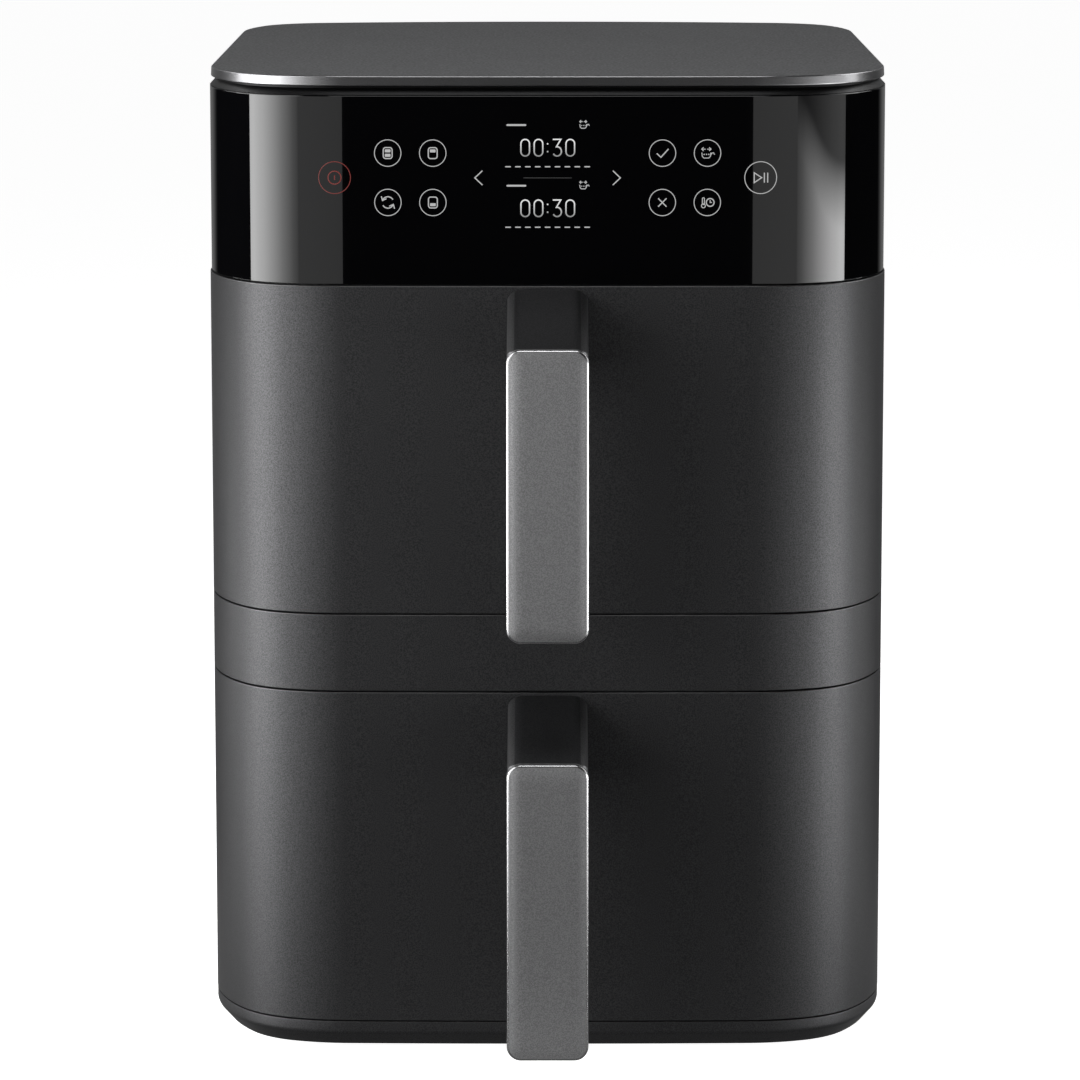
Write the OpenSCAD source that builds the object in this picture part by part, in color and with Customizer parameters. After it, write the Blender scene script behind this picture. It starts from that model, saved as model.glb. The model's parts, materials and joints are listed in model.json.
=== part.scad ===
// Double-stack air fryer: two drawers, one above the other, in one tall housing.
// Millimetres, +Z up, front towards -Y, the origin on the floor under the middle of the whole.

/* [Body] */
// Width across the sides
body_w = 268; // [262:1:274]
// Depth from the middle of the front to the middle of the back
body_d = 359; // [354:1:366]
// Radius of the slightly bowed front
front_r = 3280; // [2500:10:4500]
// Radius of the bowed back
back_r = 540; // [500:5:600]
// Straight steps that each arc of the outline is drawn with
arc_steps = 7; // [5:1:12]

/* [Heights] */
// Height of the rubber feet
foot_h = 4; // [3:0.5:5]
// Height of the chamfer round the foot of the base
base_chamfer_h = 5.5; // [4:0.5:7]
// Height of the straight strip of the base above the chamfer
base_strip_h = 4.8; // [4:0.1:6]
// Height of the lower drawer front, seam to seam
lower_front_h = 132.1; // [130:0.1:136]
// Height of the band between the two drawers
band_h = 30.7; // [28:0.1:36]
// Height of the upper drawer front, seam to seam
upper_front_h = 128.6; // [128:0.1:136]
// Height of the control panel
panel_h = 73; // [70:0.5:80]
// Height of the recessed neck under the lid
neck_h = 3.7; // [3:0.1:5]
// Height of the sloped shoulder at the foot of the neck
shoulder_h = 1.8; // [1:0.1:2.5]
// Height of the rim of the lid
lid_h = 3.8; // [3:0.1:6]

/* [Skins] */
// Thickness of the outer skins
skin_t = 3; // [2.5:0.1:3.2]
// Gap in the seams between the skins
seam = 0.7; // [0.6:0.1:1.4]
// How far back the panel, the band and the drawer fronts reach round the corners
wrap_d = 71.4; // [70:0.1:76]
// How far forward the rear cover reaches round its corners
rear_wrap_d = 76; // [75:1:90]
// How far the control panel stands back from the drawer fronts
panel_inset = 0.5; // [0.2:0.1:0.8]
// How far the base stands back from the drawer fronts
base_inset = 0.5; // [0.2:0.1:1]
// How far the neck stands back from the skins
neck_inset = 3.3; // [3.2:0.1:4]
// How far the lid stands back from the skins
lid_inset = 0.9; // [0.5:0.1:2]
// Clearance between a drawer front and the frame behind it
front_clearance = 1.2; // [1:0.1:1.4]

/* [Drawers] */
// Outer width of the pan
pan_w = 212; // [206:1:214]
// Length of the pan
pan_l = 238; // [225:1:240]
// Height of the pan
pan_h = 96; // [90:1:98]
// Thickness of the pan
pan_t = 1.5; // [1.2:0.1:2]
// Radius of the pan's upright corners
pan_r = 24; // [20:1:28]
// Height of the crisper plate above the bottom of the pan
crisper_lift = 18; // [14:1:24]
// Holes across the crisper plate, and as many along it
crisper_holes = 9; // [7:1:10]

/* [Handles] */
// How far the handle stands out from the front
handle_reach = 50; // [44:1:54]
// Width of the grip plate
grip_w = 31.5; // [30:0.5:36]
// Thickness of the grip plate
grip_t = 4; // [3:0.5:5]
// Radius of the grip plate's corners
grip_r = 5.5; // [4:0.5:7]
// Distance from the top of the drawer front down to the top of the grip
grip_drop = 19; // [16:0.5:22]
// How far the grip hangs below the drawer front
grip_hang = 3.1; // [0:0.1:4]
// Thickness of the arm behind the grip plate
arm_t = 9; // [7:0.5:11]
// Height of the arm where it meets the drawer front
arm_root_h = 30; // [28:1:34]

/* [Chambers] */
// Inner width of each cooking chamber
chamber_w = 229; // [228:0.5:230]
// Height of each cooking chamber, over its sheet metal
chamber_h = 114; // [113:0.5:115]
// Depth at which each chamber ends, from the front
chamber_back = 303; // [300:1:304]
// Thickness of the sheet metal
sheet_t = 1; // [0.8:0.1:1.4]

/* [Fans] */
// Radius of the convection fan
fan_r = 40; // [34:1:41]
// Blades of the convection fan
fan_blades = 10; // [6:1:12]
// Radius of the heater coil
coil_r = 49; // [48:0.5:49.5]
// Radius of the heater's tube
coil_tube_r = 3.2; // [2.5:0.1:3.3]
// Radius of the fan's shaft
shaft_r = 3; // [2.5:0.1:4]
// Running clearance between the shaft and the motor
shaft_clearance = 0.08; // [0.02:0.01:0.1]
// Radius of the motor
motor_r = 26; // [22:1:28]

/* [Hidden] */
$fn = 64;
half_w = body_w / 2;
sliver = 0.01;

// Levels above the floor.
base_break = foot_h + base_chamfer_h;
lower_z = base_break + base_strip_h;
band_z = lower_z + lower_front_h;
upper_z = band_z + band_h;
panel_z = upper_z + upper_front_h;
rim_z = panel_z + panel_h;
neck_z = rim_z + neck_h;
lid_z = neck_z + lid_h;

// The outline's quarters are chains of tangent arcs, [radius, heading in degrees where it ends],
// from the centre line to the side. The first arc ends where the width makes it end.
function first_heading(radius, rest) =
    let (n = len(rest) - 1)
    let (steps = [for (i = [0:n - 1]) (rest[i][0] - rest[i + 1][0]) * sin(rest[i][1])])
    let (bent = n == 2 ? steps[0] + steps[1] : steps[0])
    asin((half_w - rest[n][0] - bent) / (radius - rest[0][0]));
function chain(radius, rest) = concat([[radius, first_heading(radius, rest)]], rest);
front_arcs = chain(front_r, [[69, 21.5], [38.5, 59], [89, 90]]);
back_arcs = chain(back_r, [[36, 70.5], [124, 90]]);

function centre(arcs, i) = i == 0 ? [0, arcs[0][0]]
    : centre(arcs, i - 1)
        + (arcs[i - 1][0] - arcs[i][0]) * [sin(arcs[i - 1][1]), -cos(arcs[i - 1][1])];
function quarter(arcs, inset) = [
    for (i = [0:len(arcs) - 1])
        let (start = i == 0 ? 0 : arcs[i - 1][1])
        let (turn = arcs[i][1] - start)
        for (s = [(i == 0 ? 0 : 1):arc_steps])
            let (heading = start + turn * s / arc_steps)
            centre(arcs, i) + (arcs[i][0] - inset) * [sin(heading), -cos(heading)]
];
function reversed(points) = [for (i = [len(points) - 1:-1:0]) points[i]];
function mirrored(points) = [for (p = reversed(points)) if (p[0] > sliver) [-p[0], p[1]]];
function from_back(points) = [for (p = points) [p[0], body_d - p[1]]];
function outline(inset) =
    let (right = concat(quarter(front_arcs, inset), reversed(from_back(quarter(back_arcs, inset)))))
    concat(right, mirrored(right));

// A wrap runs round one end of the body, from side to side, between two insets.
function wrap_line(arcs, inset, reach) =
    let (right = concat(quarter(arcs, inset), [[half_w - inset, reach]]))
    concat(mirrored(right), right);
function wrap(arcs, outer, inner, reach) =
    concat(wrap_line(arcs, outer, reach), reversed(wrap_line(arcs, inner, reach)));

// A rectangle from [-w/2, y0] to [w/2, y1] with round corners.
corner_steps = 6;
function corner(x, y, r, start) =
    [for (s = [0:corner_steps]) let (a = start + 90 * s / corner_steps) [x, y] + r * [cos(a), sin(a)]];
function rounded(w, y0, y1, r) = concat(
    corner(w / 2 - r, y0 + r, r, -90),
    corner(w / 2 - r, y1 - r, r, 0),
    corner(r - w / 2, y1 - r, r, 90),
    corner(r - w / 2, y0 + r, r, 180)
);

// The moulded frame behind the skins.
frame_t = 2.5;
frame_inset = skin_t + front_clearance;
frame_back = frame_inset + frame_t;
frame_reach = wrap_d + seam + 14;
frame_edge = 4;
neck_t = 6;
frame_top = neck_z - neck_t;
side_back = body_d - rear_wrap_d - seam;
ledge_w = 9;
ledge_h = 4;
flange_t = 3;
deck_t = 1.5;
deck_inset = frame_back + 0.8;

// The base and its screws.
base_floor_t = 2.5;
base_wall = 8;
boss_r = 5;
rib_t = 6;
rib_w = 200;
rib_rows = [80, 250];
foot_r = 10;
foot_places = [[-98, 48], [98, 48], [-92, 305], [92, 305]];
screw_r = 2;
screw_clearance = 0.05;
screw_head_r = 3.6;
base_screws = [[-123, 100], [123, 100], [-123, 255], [123, 255]];

// The rear cover, its lugs and screws, its vents and the gland.
lug_w = 12;
lug_front = 335;
lug_back = 348.5;
cover_screw_x = 80;
cover_screw_y = body_d - 7.4;
cover_screw_l = 12;
cover_screw_rows = [24, rim_z - 12];
vent_slots = 15;
vent_pitch = 8;
vent_w = 3.2;
vent_h = 40;
gland_x = 70;
gland_z = 36;
gland_y = 341;
gland_r = 7.5;
gland_bore_r = 3.8;
gland_l = 17;
gland_collar_r = 10;
gland_collar_t = 2.5;

// Electronics.
tray_z = panel_z;
board_t = 1.6;
board_lift = 4;
power_board_z = tray_z + deck_t + board_lift;
power_board_w = 120;
power_board_rows = [190, 290];
touch_board_y = 5.6;
touch_board_w = 178;
panel_post_x = 80;
window_w = 184;
window_edge = 5;
loom_r = 3;
loom_x = 62;
loom_y = chamber_back + 16;

// Chambers, measured up from the seam at the foot of their drawer front.
liner_lift = 7;
liner_front = 28;
chamber_mid = liner_lift + chamber_h / 2;
guard_y = 272;
guard_t = 1;
coil_rows = [284, 292];
coil_feet = [-14, 14];
terminal_r = coil_tube_r - 0.6;
sensor_x = 72;
sensor_z = chamber_mid + 30;
motor_front = chamber_back + 9;
motor_l = 22;
motor_foot_r = 3;
motor_foot_ring = 19;
switch_x = 70;
switch_w = 20;
switch_front = 31;
rail_front = 44;
rail_l = 220;

// Drawers.
drawer_w = chamber_w - 5;
drawer_edge = 6;
drawer_back = 24;
bracket_w = drawer_w - 4;
bracket_wall = 3;
pan_lift = 12;
pan_top = pan_lift + pan_h;
flange_w = chamber_w - 7;
rivets = [for (x = [-60, 60], z = [40, 85]) [x, z]];
rivet_head_t = 1;
arm_w = grip_w - 0.5;
arm_back = grip_t + arm_t - handle_reach;
arm_bend = 8;
arm_drop = 1.7;
handle_screw_drops = [13, 25];

// Crisper plates.
crisper_t = 1.5;
crisper_gap = 1;
crisper_z = pan_lift + pan_t + crisper_lift;
crisper_w = pan_w - 2 * pan_t - 2 * crisper_gap;
crisper_front = drawer_back + pan_t + crisper_gap;
crisper_back = drawer_back + pan_l - pan_t - crisper_gap;
crisper_edge = 20;
bumper_rows = [90, 190];
bumper_l = 16;

// Fans.
hub_r = 8;
impeller_front = 279;
impeller_back = 297;
blade_t = 1.2;
shaft_front = 276;
shaft_back = motor_front + motor_l + 17;
cooling_fan_r = 36;
cooling_blades = 9;
cooling_front = motor_front + motor_l + 5;
cooling_back = cooling_front + 11;

// ---- Placing and plain shapes ----

// Every module draws with y = 0 at the middle of the front; this brings it to the origin.
module placed(z = 0) {
    translate([0, (handle_reach - body_d) / 2, z]) children();
}

module slab(points, z0, z1) {
    translate([0, 0, z0]) linear_extrude(z1 - z0) polygon(points);
}

// A box from one corner to the other.
module block(low, high) {
    translate(low) cube(high - low);
}

// A box that is mirrored about the centre line.
module centred_block(w, y0, y1, z0, z1) {
    block([-w / 2, y0, z0], [w / 2, y1, z1]);
}

// A cylinder along +Y.
module rod(x, y0, y1, z, r) {
    translate([x, y0, z]) rotate([-90, 0, 0]) cylinder(h = y1 - y0, r = r);
}

module screw_hole_up(place, z0, z1) {
    translate([place[0], place[1], z0]) cylinder(h = z1 - z0, r = screw_r + screw_clearance);
}

module both_sides() {
    children();
    mirror([1, 0, 0]) children();
}

module from_the_back() {
    translate([0, body_d, 0]) mirror([0, 1, 0]) children();
}

// Flat blades, one edge on the given radius, which stand back from y = 0 round a hub.
module blades(count, length, depth) {
    rotate([-90, 0, 0]) for (i = [0:count - 1])
        rotate([0, 0, 360 / count * i]) translate([hub_r - 1, 0, 0]) cube([length, blade_t, depth]);
}

// ---- Housing ----

// A block that one of the rear cover's screws bites into, on each side.
module cover_lugs(z0, z1, screw_z) {
    both_sides() difference() {
        block([cover_screw_x - lug_w / 2, lug_front, z0], [cover_screw_x + lug_w / 2, lug_back, z1]);
        rod(cover_screw_x, lug_front - 1, lug_back + 1, screw_z, screw_r + screw_clearance);
    }
}

module base_tray() {
    floor_z = foot_h + base_floor_t;
    chamfer_w = 4.5;
    head_recess_r = 4;
    color("dimgray") difference() {
        union() {
            hull() {
                slab(outline(base_inset + chamfer_w), foot_h, foot_h + sliver);
                slab(outline(base_inset), base_break - sliver, base_break);
            }
            slab(outline(base_inset), base_break, lower_z);
        }
        difference() {
            slab(outline(base_wall), floor_z, lower_z + 1);
            for (p = base_screws) translate([p[0], p[1], floor_z]) cylinder(h = lower_z, r = boss_r);
            for (y = rib_rows) centred_block(rib_w, y, y + rib_t, floor_z, lower_z + 1);
        }
        for (p = base_screws) {
            screw_hole_up(p, 0, lower_z + 1);
            translate([p[0], p[1], 0]) cylinder(h = foot_h + 2, r = head_recess_r);
        }
    }
    color("dimgray") {
        for (y = rib_rows) centred_block(rib_w, y, y + rib_t, lower_z, lower_z + liner_lift);
        cover_lugs(base_break, cover_screw_rows[0] + 6, cover_screw_rows[0]);
    }
}

module feet() {
    color("black") for (p = foot_places)
        translate([p[0], p[1], 0]) cylinder(h = foot_h, r1 = foot_r - 1, r2 = foot_r);
}

module drawer_opening(z, h) {
    centred_block(drawer_w, -1, 60, z + frame_edge, z + h - frame_edge);
}

// The moulded frame that the panel, the band, the side shells and the liners are fixed to.
module front_frame() {
    color([0.1, 0.1, 0.11]) difference() {
        union() {
            slab(wrap(front_arcs, frame_inset, frame_back, frame_reach), lower_z, frame_top);
            slab(wrap(front_arcs, skin_t, frame_back, wrap_d), band_z, upper_z);
            slab(wrap(front_arcs, skin_t, frame_back, wrap_d), panel_z, frame_top);
            both_sides() block(
                [half_w - frame_back, wrap_d + seam, lower_z],
                [half_w - skin_t, frame_reach, frame_top]
            );
        }
        drawer_opening(lower_z, lower_front_h);
        drawer_opening(upper_z, upper_front_h);
        centred_block(window_w, -1, 30, panel_z + window_edge, frame_top - window_edge);
    }
}

module front_band() {
    color([0.2, 0.2, 0.21])
        slab(wrap(front_arcs, 0, skin_t, wrap_d), band_z + seam / 2, upper_z - seam / 2);
}

// The gloss panel, with four posts behind it that carry the touch board.
module control_panel() {
    post_r = 2.5;
    color([0.02, 0.02, 0.02]) {
        slab(wrap(front_arcs, panel_inset, skin_t, wrap_d), panel_z + seam / 2, rim_z);
        for (x = [-panel_post_x, panel_post_x], z = [panel_z + 12, rim_z - 14])
            rod(x, skin_t, touch_board_y, z, post_r);
    }
}

module side_shell_right() {
    inside = half_w - skin_t;
    front = frame_reach + 1;
    color([0.16, 0.16, 0.17]) {
        block([inside, wrap_d + seam, lower_z], [half_w, side_back, rim_z]);
        difference() {
            block([inside - ledge_w, front, lower_z], [inside, side_back, lower_z + flange_t]);
            for (p = base_screws) screw_hole_up(p, lower_z - 1, lower_z + flange_t + 1);
        }
        block([inside - ledge_w, front, frame_top - flange_t], [inside, side_back, frame_top]);
        for (z = [upper_z + liner_lift - deck_t, tray_z])
            block([inside - ledge_w, front, z - ledge_h], [inside, side_back, z]);
    }
}

module side_shell_left() {
    mirror([1, 0, 0]) side_shell_right();
}

module vent_holes(z) {
    for (i = [0:vent_slots - 1]) {
        x = (i - (vent_slots - 1) / 2) * vent_pitch;
        block([x - vent_w / 2, lug_front, z - vent_h / 2], [x + vent_w / 2, body_d + 1, z + vent_h / 2]);
    }
}

// Tongues at its edges reach behind the side shells, and a boss holds the gland.
module rear_cover() {
    tongue_t = 2;
    boss_front = 350;
    color([0.12, 0.12, 0.13]) difference() {
        union() {
            from_the_back() {
                slab(wrap(back_arcs, 0, skin_t, rear_wrap_d), lower_z, rim_z);
                both_sides() block(
                    [half_w - skin_t - tongue_t, rear_wrap_d - 4, lower_z + 4],
                    [half_w - skin_t, rear_wrap_d + 9, upper_z + liner_lift - 8]
                );
            }
            rod(gland_x, boss_front, gland_y + gland_l - gland_collar_t, gland_z, 12);
        }
        rod(gland_x, lug_front, body_d + 1, gland_z, gland_r + 0.1);
        for (z = [lower_z, upper_z]) vent_holes(z + chamber_mid);
        both_sides() for (z = cover_screw_rows) {
            rod(cover_screw_x, lug_front, body_d + 1, z, screw_r + screw_clearance);
            rod(cover_screw_x, cover_screw_y, body_d + 1, z, screw_head_r + 0.4);
        }
    }
}

// A sheet that spans the housing between the front frame and the rear cover.
module deck(z) {
    intersection() {
        slab(outline(deck_inset), z, z + deck_t);
        centred_block(body_w, liner_front + 2, chamber_back - 3, z, z + deck_t);
    }
}

module mid_deck() {
    color("silver") deck(upper_z + liner_lift - deck_t);
}

module electronics_tray() {
    post_in = 8;
    color("silver") {
        deck(tray_z);
        for (x = [-1, 1] * (power_board_w / 2 - post_in), y = power_board_rows + [post_in, -post_in])
            translate([x, y, tray_z + deck_t]) cylinder(h = board_lift, r = 3);
    }
}

// The neck sits inside the skins, and its sloped shoulder covers their top edges.
module top_neck() {
    color([0.02, 0.02, 0.02]) {
        slab(outline(neck_inset), frame_top, neck_z);
        hull() {
            slab(outline(lid_inset), rim_z, rim_z + sliver);
            slab(outline(neck_inset), rim_z, rim_z + shoulder_h);
        }
        cover_lugs(cover_screw_rows[1] - 6, frame_top, cover_screw_rows[1]);
    }
}

// The lid is a shallow pressed tray, turned over.
module top_cover() {
    hem_w = 9;
    lid_t = 2;
    color([0.32, 0.33, 0.34]) difference() {
        slab(outline(lid_inset), neck_z, lid_z);
        slab(outline(lid_inset + hem_w), neck_z - 1, lid_z - lid_t);
    }
}

module touch_board() {
    color("darkgreen") centred_block(
        touch_board_w, touch_board_y, touch_board_y + board_t, panel_z + window_edge + 2, rim_z - 8
    );
}

// The display's block and four sounders and sensors beside it.
module display_module() {
    y = touch_board_y + board_t;
    color("black") {
        centred_block(44, y, y + 8, panel_z + 17, panel_z + 63);
        for (x = [-76, -33, 33, 76]) rod(x, y, y + 3, panel_z + 40, 6);
    }
}

// The board carries a transformer, two relays and three capacitors.
module power_board() {
    z = power_board_z + board_t;
    row = power_board_rows[0] + 15;
    color("darkgreen")
        centred_block(power_board_w, power_board_rows[0], power_board_rows[1], power_board_z, z);
    color("dimgray") {
        block([-50, row, z], [-16, row + 35, z + 28]);
        for (x = [0, 26]) block([x, row, z], [x + 20, row + 16, z + 16]);
        for (x = [0, 18, 36]) translate([x, row + 45, z]) cylinder(h = 25, r = 7);
    }
}

// The loom climbs behind the liners, from the cord gland to the motors and the power board.
module wire_harness() {
    top = power_board_z + board_t;
    color("black") {
        translate([loom_x, loom_y, gland_z]) cylinder(h = top - gland_z, r = loom_r);
        rod(loom_x, power_board_rows[1], loom_y, top, loom_r);
        rod(loom_x, loom_y, gland_y - 2, gland_z, loom_r);
        for (z = [lower_z, upper_z] + [chamber_mid, chamber_mid])
            translate([motor_r, loom_y, z]) rotate([0, 90, 0]) cylinder(h = loom_x - motor_r, r = 2);
        for (z = [gland_z, top]) translate([loom_x, loom_y, z]) sphere(r = loom_r);
    }
}

module cord_gland() {
    collar_y = gland_y + gland_l - gland_collar_t;
    color("black") difference() {
        union() {
            rod(gland_x, gland_y, collar_y, gland_z, gland_r);
            rod(gland_x, collar_y, gland_y + gland_l, gland_z, gland_collar_r);
        }
        rod(gland_x, gland_y - 1, gland_y + gland_l + 1, gland_z, gland_bore_r);
    }
}

module housing_screws() {
    head_t = 1.6;
    color("silver") {
        for (p = base_screws) translate([p[0], p[1], foot_h + 0.2]) {
            cylinder(h = 13, r = screw_r);
            cylinder(h = head_t, r = screw_head_r);
        }
        both_sides() for (z = cover_screw_rows) {
            rod(cover_screw_x, cover_screw_y - cover_screw_l, cover_screw_y, z, screw_r);
            rod(cover_screw_x, cover_screw_y, cover_screw_y + head_t, z, screw_head_r);
        }
    }
}

// ---- Chambers: drawn with z = 0 at the lower seam of their drawer front ----

// A sheet box, open to the front, with holes for the shaft, the heater, the sensor and the switch.
module chamber_liner() {
    top = liner_lift + chamber_h;
    back = chamber_back + sheet_t;
    lip = 2;
    color("silver") difference() {
        union() {
            centred_block(chamber_w + 2 * sheet_t, liner_front, back, liner_lift, top);
            centred_block(
                chamber_w + 2 * sheet_t + lip, liner_front, liner_front + sheet_t,
                liner_lift - lip, top + lip
            );
        }
        centred_block(
            chamber_w, liner_front - 1, chamber_back, liner_lift + sheet_t, top - sheet_t
        );
        rod(0, chamber_back - 1, back + 1, chamber_mid, shaft_r + 4);
        for (x = coil_feet) rod(x, chamber_back - 1, back + 1, coil_foot_z(x), terminal_r + 0.5);
        rod(sensor_x, chamber_back - 1, back + 1, sensor_z, 3);
        block(
            [switch_x - switch_w / 2 + 4, liner_front - 1, top],
            [switch_x + switch_w / 2 - 4, liner_front + lip, top + lip + 1]
        );
    }
}

module drawer_rails() {
    inner = flange_w / 2 - 4;
    color("silver") both_sides() block(
        [inner, rail_front, pan_top - 9], [chamber_w / 2, rail_front + rail_l, pan_top - 2.6]
    );
}

// A sheet across the chamber, with rings of curved slots in front of the fan.
module fan_guard() {
    slot_w = 6;
    slot_angle = 80;
    color("silver") difference() {
        centred_block(
            chamber_w, guard_y, guard_y + guard_t, liner_lift + sheet_t, liner_lift + chamber_h - sheet_t
        );
        translate([0, guard_y - 1, chamber_mid]) rotate([-90, 0, 0])
            for (r = [10:10:40], a = [0:90:270])
                rotate([0, 0, a + (90 - slot_angle) / 2]) rotate_extrude(angle = slot_angle)
                    translate([r, 0]) square([slot_w, guard_t + 2]);
    }
}

function coil_foot_z(x) = chamber_mid - sqrt(coil_r * coil_r - x * x);

// Two rings of tube, a link between them, and two ends that pass through the liner.
module heater_coil() {
    color("dimgray") {
        for (y = coil_rows) translate([0, y, chamber_mid]) rotate([90, 0, 0])
            rotate_extrude($fn = 96) translate([coil_r, 0]) circle(r = coil_tube_r, $fn = 24);
        rod(0, coil_rows[0], coil_rows[1], chamber_mid + coil_r, terminal_r);
        for (x = coil_feet) rod(x, coil_rows[1], chamber_back + 7, coil_foot_z(x), terminal_r);
    }
}

module fan_motor() {
    back = motor_front + motor_l;
    nose_l = 3;
    color("gray") difference() {
        union() {
            rod(0, motor_front, back, chamber_mid, motor_r);
            rod(0, back, back + nose_l, chamber_mid, 9);
            for (a = [45:90:315]) rod(
                motor_foot_ring * cos(a), chamber_back + sheet_t, motor_front + 1,
                chamber_mid + motor_foot_ring * sin(a), motor_foot_r
            );
        }
        rod(0, chamber_back, back + nose_l + 1, chamber_mid, shaft_r + shaft_clearance);
    }
}

module temp_sensor() {
    color("silver") {
        rod(sensor_x, coil_rows[0] - 2, chamber_back + sheet_t + 1, sensor_z, 2.5);
        rod(sensor_x, chamber_back + sheet_t, chamber_back + 6, sensor_z, 5);
    }
}

// A microswitch on the liner's roof, which the shut drawer presses.
module drawer_switch() {
    z = liner_lift + chamber_h;
    plunger_r = 1;
    color("black") {
        block(
            [switch_x - switch_w / 2, switch_front, z],
            [switch_x + switch_w / 2, switch_front + 11, z + 5.5]
        );
        rod(switch_x, drawer_back + 0.5, switch_front, z + plunger_r + 0.2, plunger_r);
    }
}

// ---- Drawers ----

module drawer_front(h) {
    color([0.2, 0.2, 0.21]) difference() {
        slab(wrap(front_arcs, 0, skin_t, wrap_d), seam / 2, h - seam / 2);
        for (drop = handle_screw_drops) rod(0, -1, skin_t + 1, h - drop, screw_r + screw_clearance);
    }
}

// The moulded back of the drawer front, a shallow tray that the pan is riveted to.
module drawer_bracket(h) {
    color([0.1, 0.1, 0.11]) difference() {
        intersection() {
            slab(outline(skin_t), drawer_edge, h - drawer_edge);
            centred_block(bracket_w, 0, drawer_back, drawer_edge, h - drawer_edge);
        }
        centred_block(
            bracket_w - 2 * bracket_wall, -1, drawer_back - bracket_wall,
            drawer_edge + bracket_wall, h - drawer_edge - bracket_wall
        );
        for (p = rivets) rod(p[0], 0, drawer_back + 1, p[1], screw_r + screw_clearance);
    }
}

module drawer_pan() {
    back = drawer_back + pan_l;
    flange_t = 2;
    flange_reach = 3;
    color([0.09, 0.09, 0.1]) difference() {
        union() {
            slab(rounded(pan_w, drawer_back, back, pan_r), pan_lift, pan_top);
            slab(
                rounded(flange_w, drawer_back, back + flange_reach, pan_r + flange_reach),
                pan_top - flange_t, pan_top
            );
        }
        slab(
            rounded(pan_w - 2 * pan_t, drawer_back + pan_t, back - pan_t, pan_r - pan_t),
            pan_lift + pan_t, pan_top + 1
        );
        for (p = rivets)
            rod(p[0], drawer_back - 1, drawer_back + pan_t + 1, p[1], screw_r + screw_clearance);
    }
}

module pan_rivets() {
    front = drawer_back - bracket_wall;
    head_r = 3.5;
    color("silver") for (p = rivets) {
        rod(p[0], front - rivet_head_t, drawer_back + pan_t + rivet_head_t, p[1], screw_r);
        rod(p[0], front - rivet_head_t, front, p[1], head_r);
        rod(p[0], drawer_back + pan_t, drawer_back + pan_t + rivet_head_t, p[1], head_r);
    }
}

// The dark arm leaves the front near its top, slopes down and hangs behind the grip plate.
module handle_arm(h) {
    root = h - arm_drop;
    front = grip_t - handle_reach;
    foot = 2 - grip_hang;
    elbow = [arm_back + arm_bend, root - arm_root_h - 7 - arm_bend];
    profile = concat(
        [[0, root], [front, h - grip_drop], [front, foot], [arm_back, foot]],
        [for (a = [180:-15:105]) elbow + arm_bend * [cos(a), sin(a)]],
        [[0, root - arm_root_h]]
    );
    color([0.12, 0.12, 0.13]) difference() {
        translate([-arm_w / 2, 0, 0]) rotate([90, 0, 90]) linear_extrude(arm_w) polygon(profile);
        for (drop = handle_screw_drops) rod(0, -12, 1, h - drop, screw_r + screw_clearance);
    }
}

module handle_grip(h) {
    color([0.4, 0.4, 0.41]) translate([0, grip_t - handle_reach, 0]) rotate([90, 0, 0])
        linear_extrude(grip_t) polygon(rounded(grip_w, -grip_hang, h - grip_drop, grip_r));
}

module handle_screws(h) {
    color("silver") for (drop = handle_screw_drops) {
        rod(0, -11, skin_t, h - drop, screw_r);
        rod(0, skin_t, skin_t + 2, h - drop, screw_head_r);
    }
}

// ---- Crisper plates ----

module crisper_plate() {
    hole_r = 3.2;
    leg_w = 12;
    leg_t = 4;
    step_x = (crisper_w - 2 * crisper_edge) / (crisper_holes - 1);
    step_y = (crisper_back - crisper_front - 2 * crisper_edge) / (crisper_holes - 1);
    color([0.15, 0.15, 0.16]) {
        difference() {
            slab(
                rounded(crisper_w, crisper_front, crisper_back, pan_r - pan_t - crisper_gap),
                crisper_z, crisper_z + crisper_t
            );
            for (i = [0:crisper_holes - 1], j = [0:crisper_holes - 1])
                translate([
                    crisper_edge - crisper_w / 2 + i * step_x,
                    crisper_front + crisper_edge + j * step_y,
                    crisper_z - 1
                ]) cylinder(h = crisper_t + 2, r = hole_r, $fn = 24);
        }
        for (x = [-80, 80], y = [crisper_front + 30, crisper_back - 34])
            block(
                [x - leg_w / 2, y, pan_lift + pan_t + 0.3],
                [x + leg_w / 2, y + leg_t, crisper_z]
            );
    }
}

// Silicone pads on the plate's edges, which keep it from scraping the pan.
module crisper_bumpers() {
    w = pan_w - 2 * pan_t - 0.8;
    color("black") both_sides() for (y = bumper_rows) difference() {
        block([w / 2 - 7, y, crisper_z - 3], [w / 2, y + bumper_l, crisper_z + 4]);
        block([0, y - 1, crisper_z], [crisper_w / 2 + 0.1, y + bumper_l + 1, crisper_z + crisper_t]);
    }
}

// ---- Fans ----

module fan_impeller() {
    plate_t = 1.5;
    depth = impeller_back - impeller_front;
    color("silver") difference() {
        union() {
            rod(0, impeller_front, impeller_back, chamber_mid, hub_r);
            rod(0, impeller_back - plate_t, impeller_back, chamber_mid, fan_r);
            translate([0, impeller_front, chamber_mid]) blades(fan_blades, fan_r - hub_r, depth - 1);
        }
        rod(0, impeller_front - 1, impeller_back + 1, chamber_mid, shaft_r);
    }
}

module fan_shaft() {
    color("silver") rod(0, shaft_front, shaft_back, chamber_mid, shaft_r);
}

module cooling_fan() {
    plate_t = 1.5;
    color("black") difference() {
        union() {
            rod(0, cooling_front, cooling_back, chamber_mid, hub_r);
            rod(0, cooling_front, cooling_front + plate_t, chamber_mid, cooling_fan_r);
            translate([0, cooling_front, chamber_mid])
                blades(cooling_blades, cooling_fan_r - hub_r, cooling_back - cooling_front - 2);
        }
        rod(0, cooling_front - 1, cooling_back + 1, chamber_mid, shaft_r);
    }
}

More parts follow.
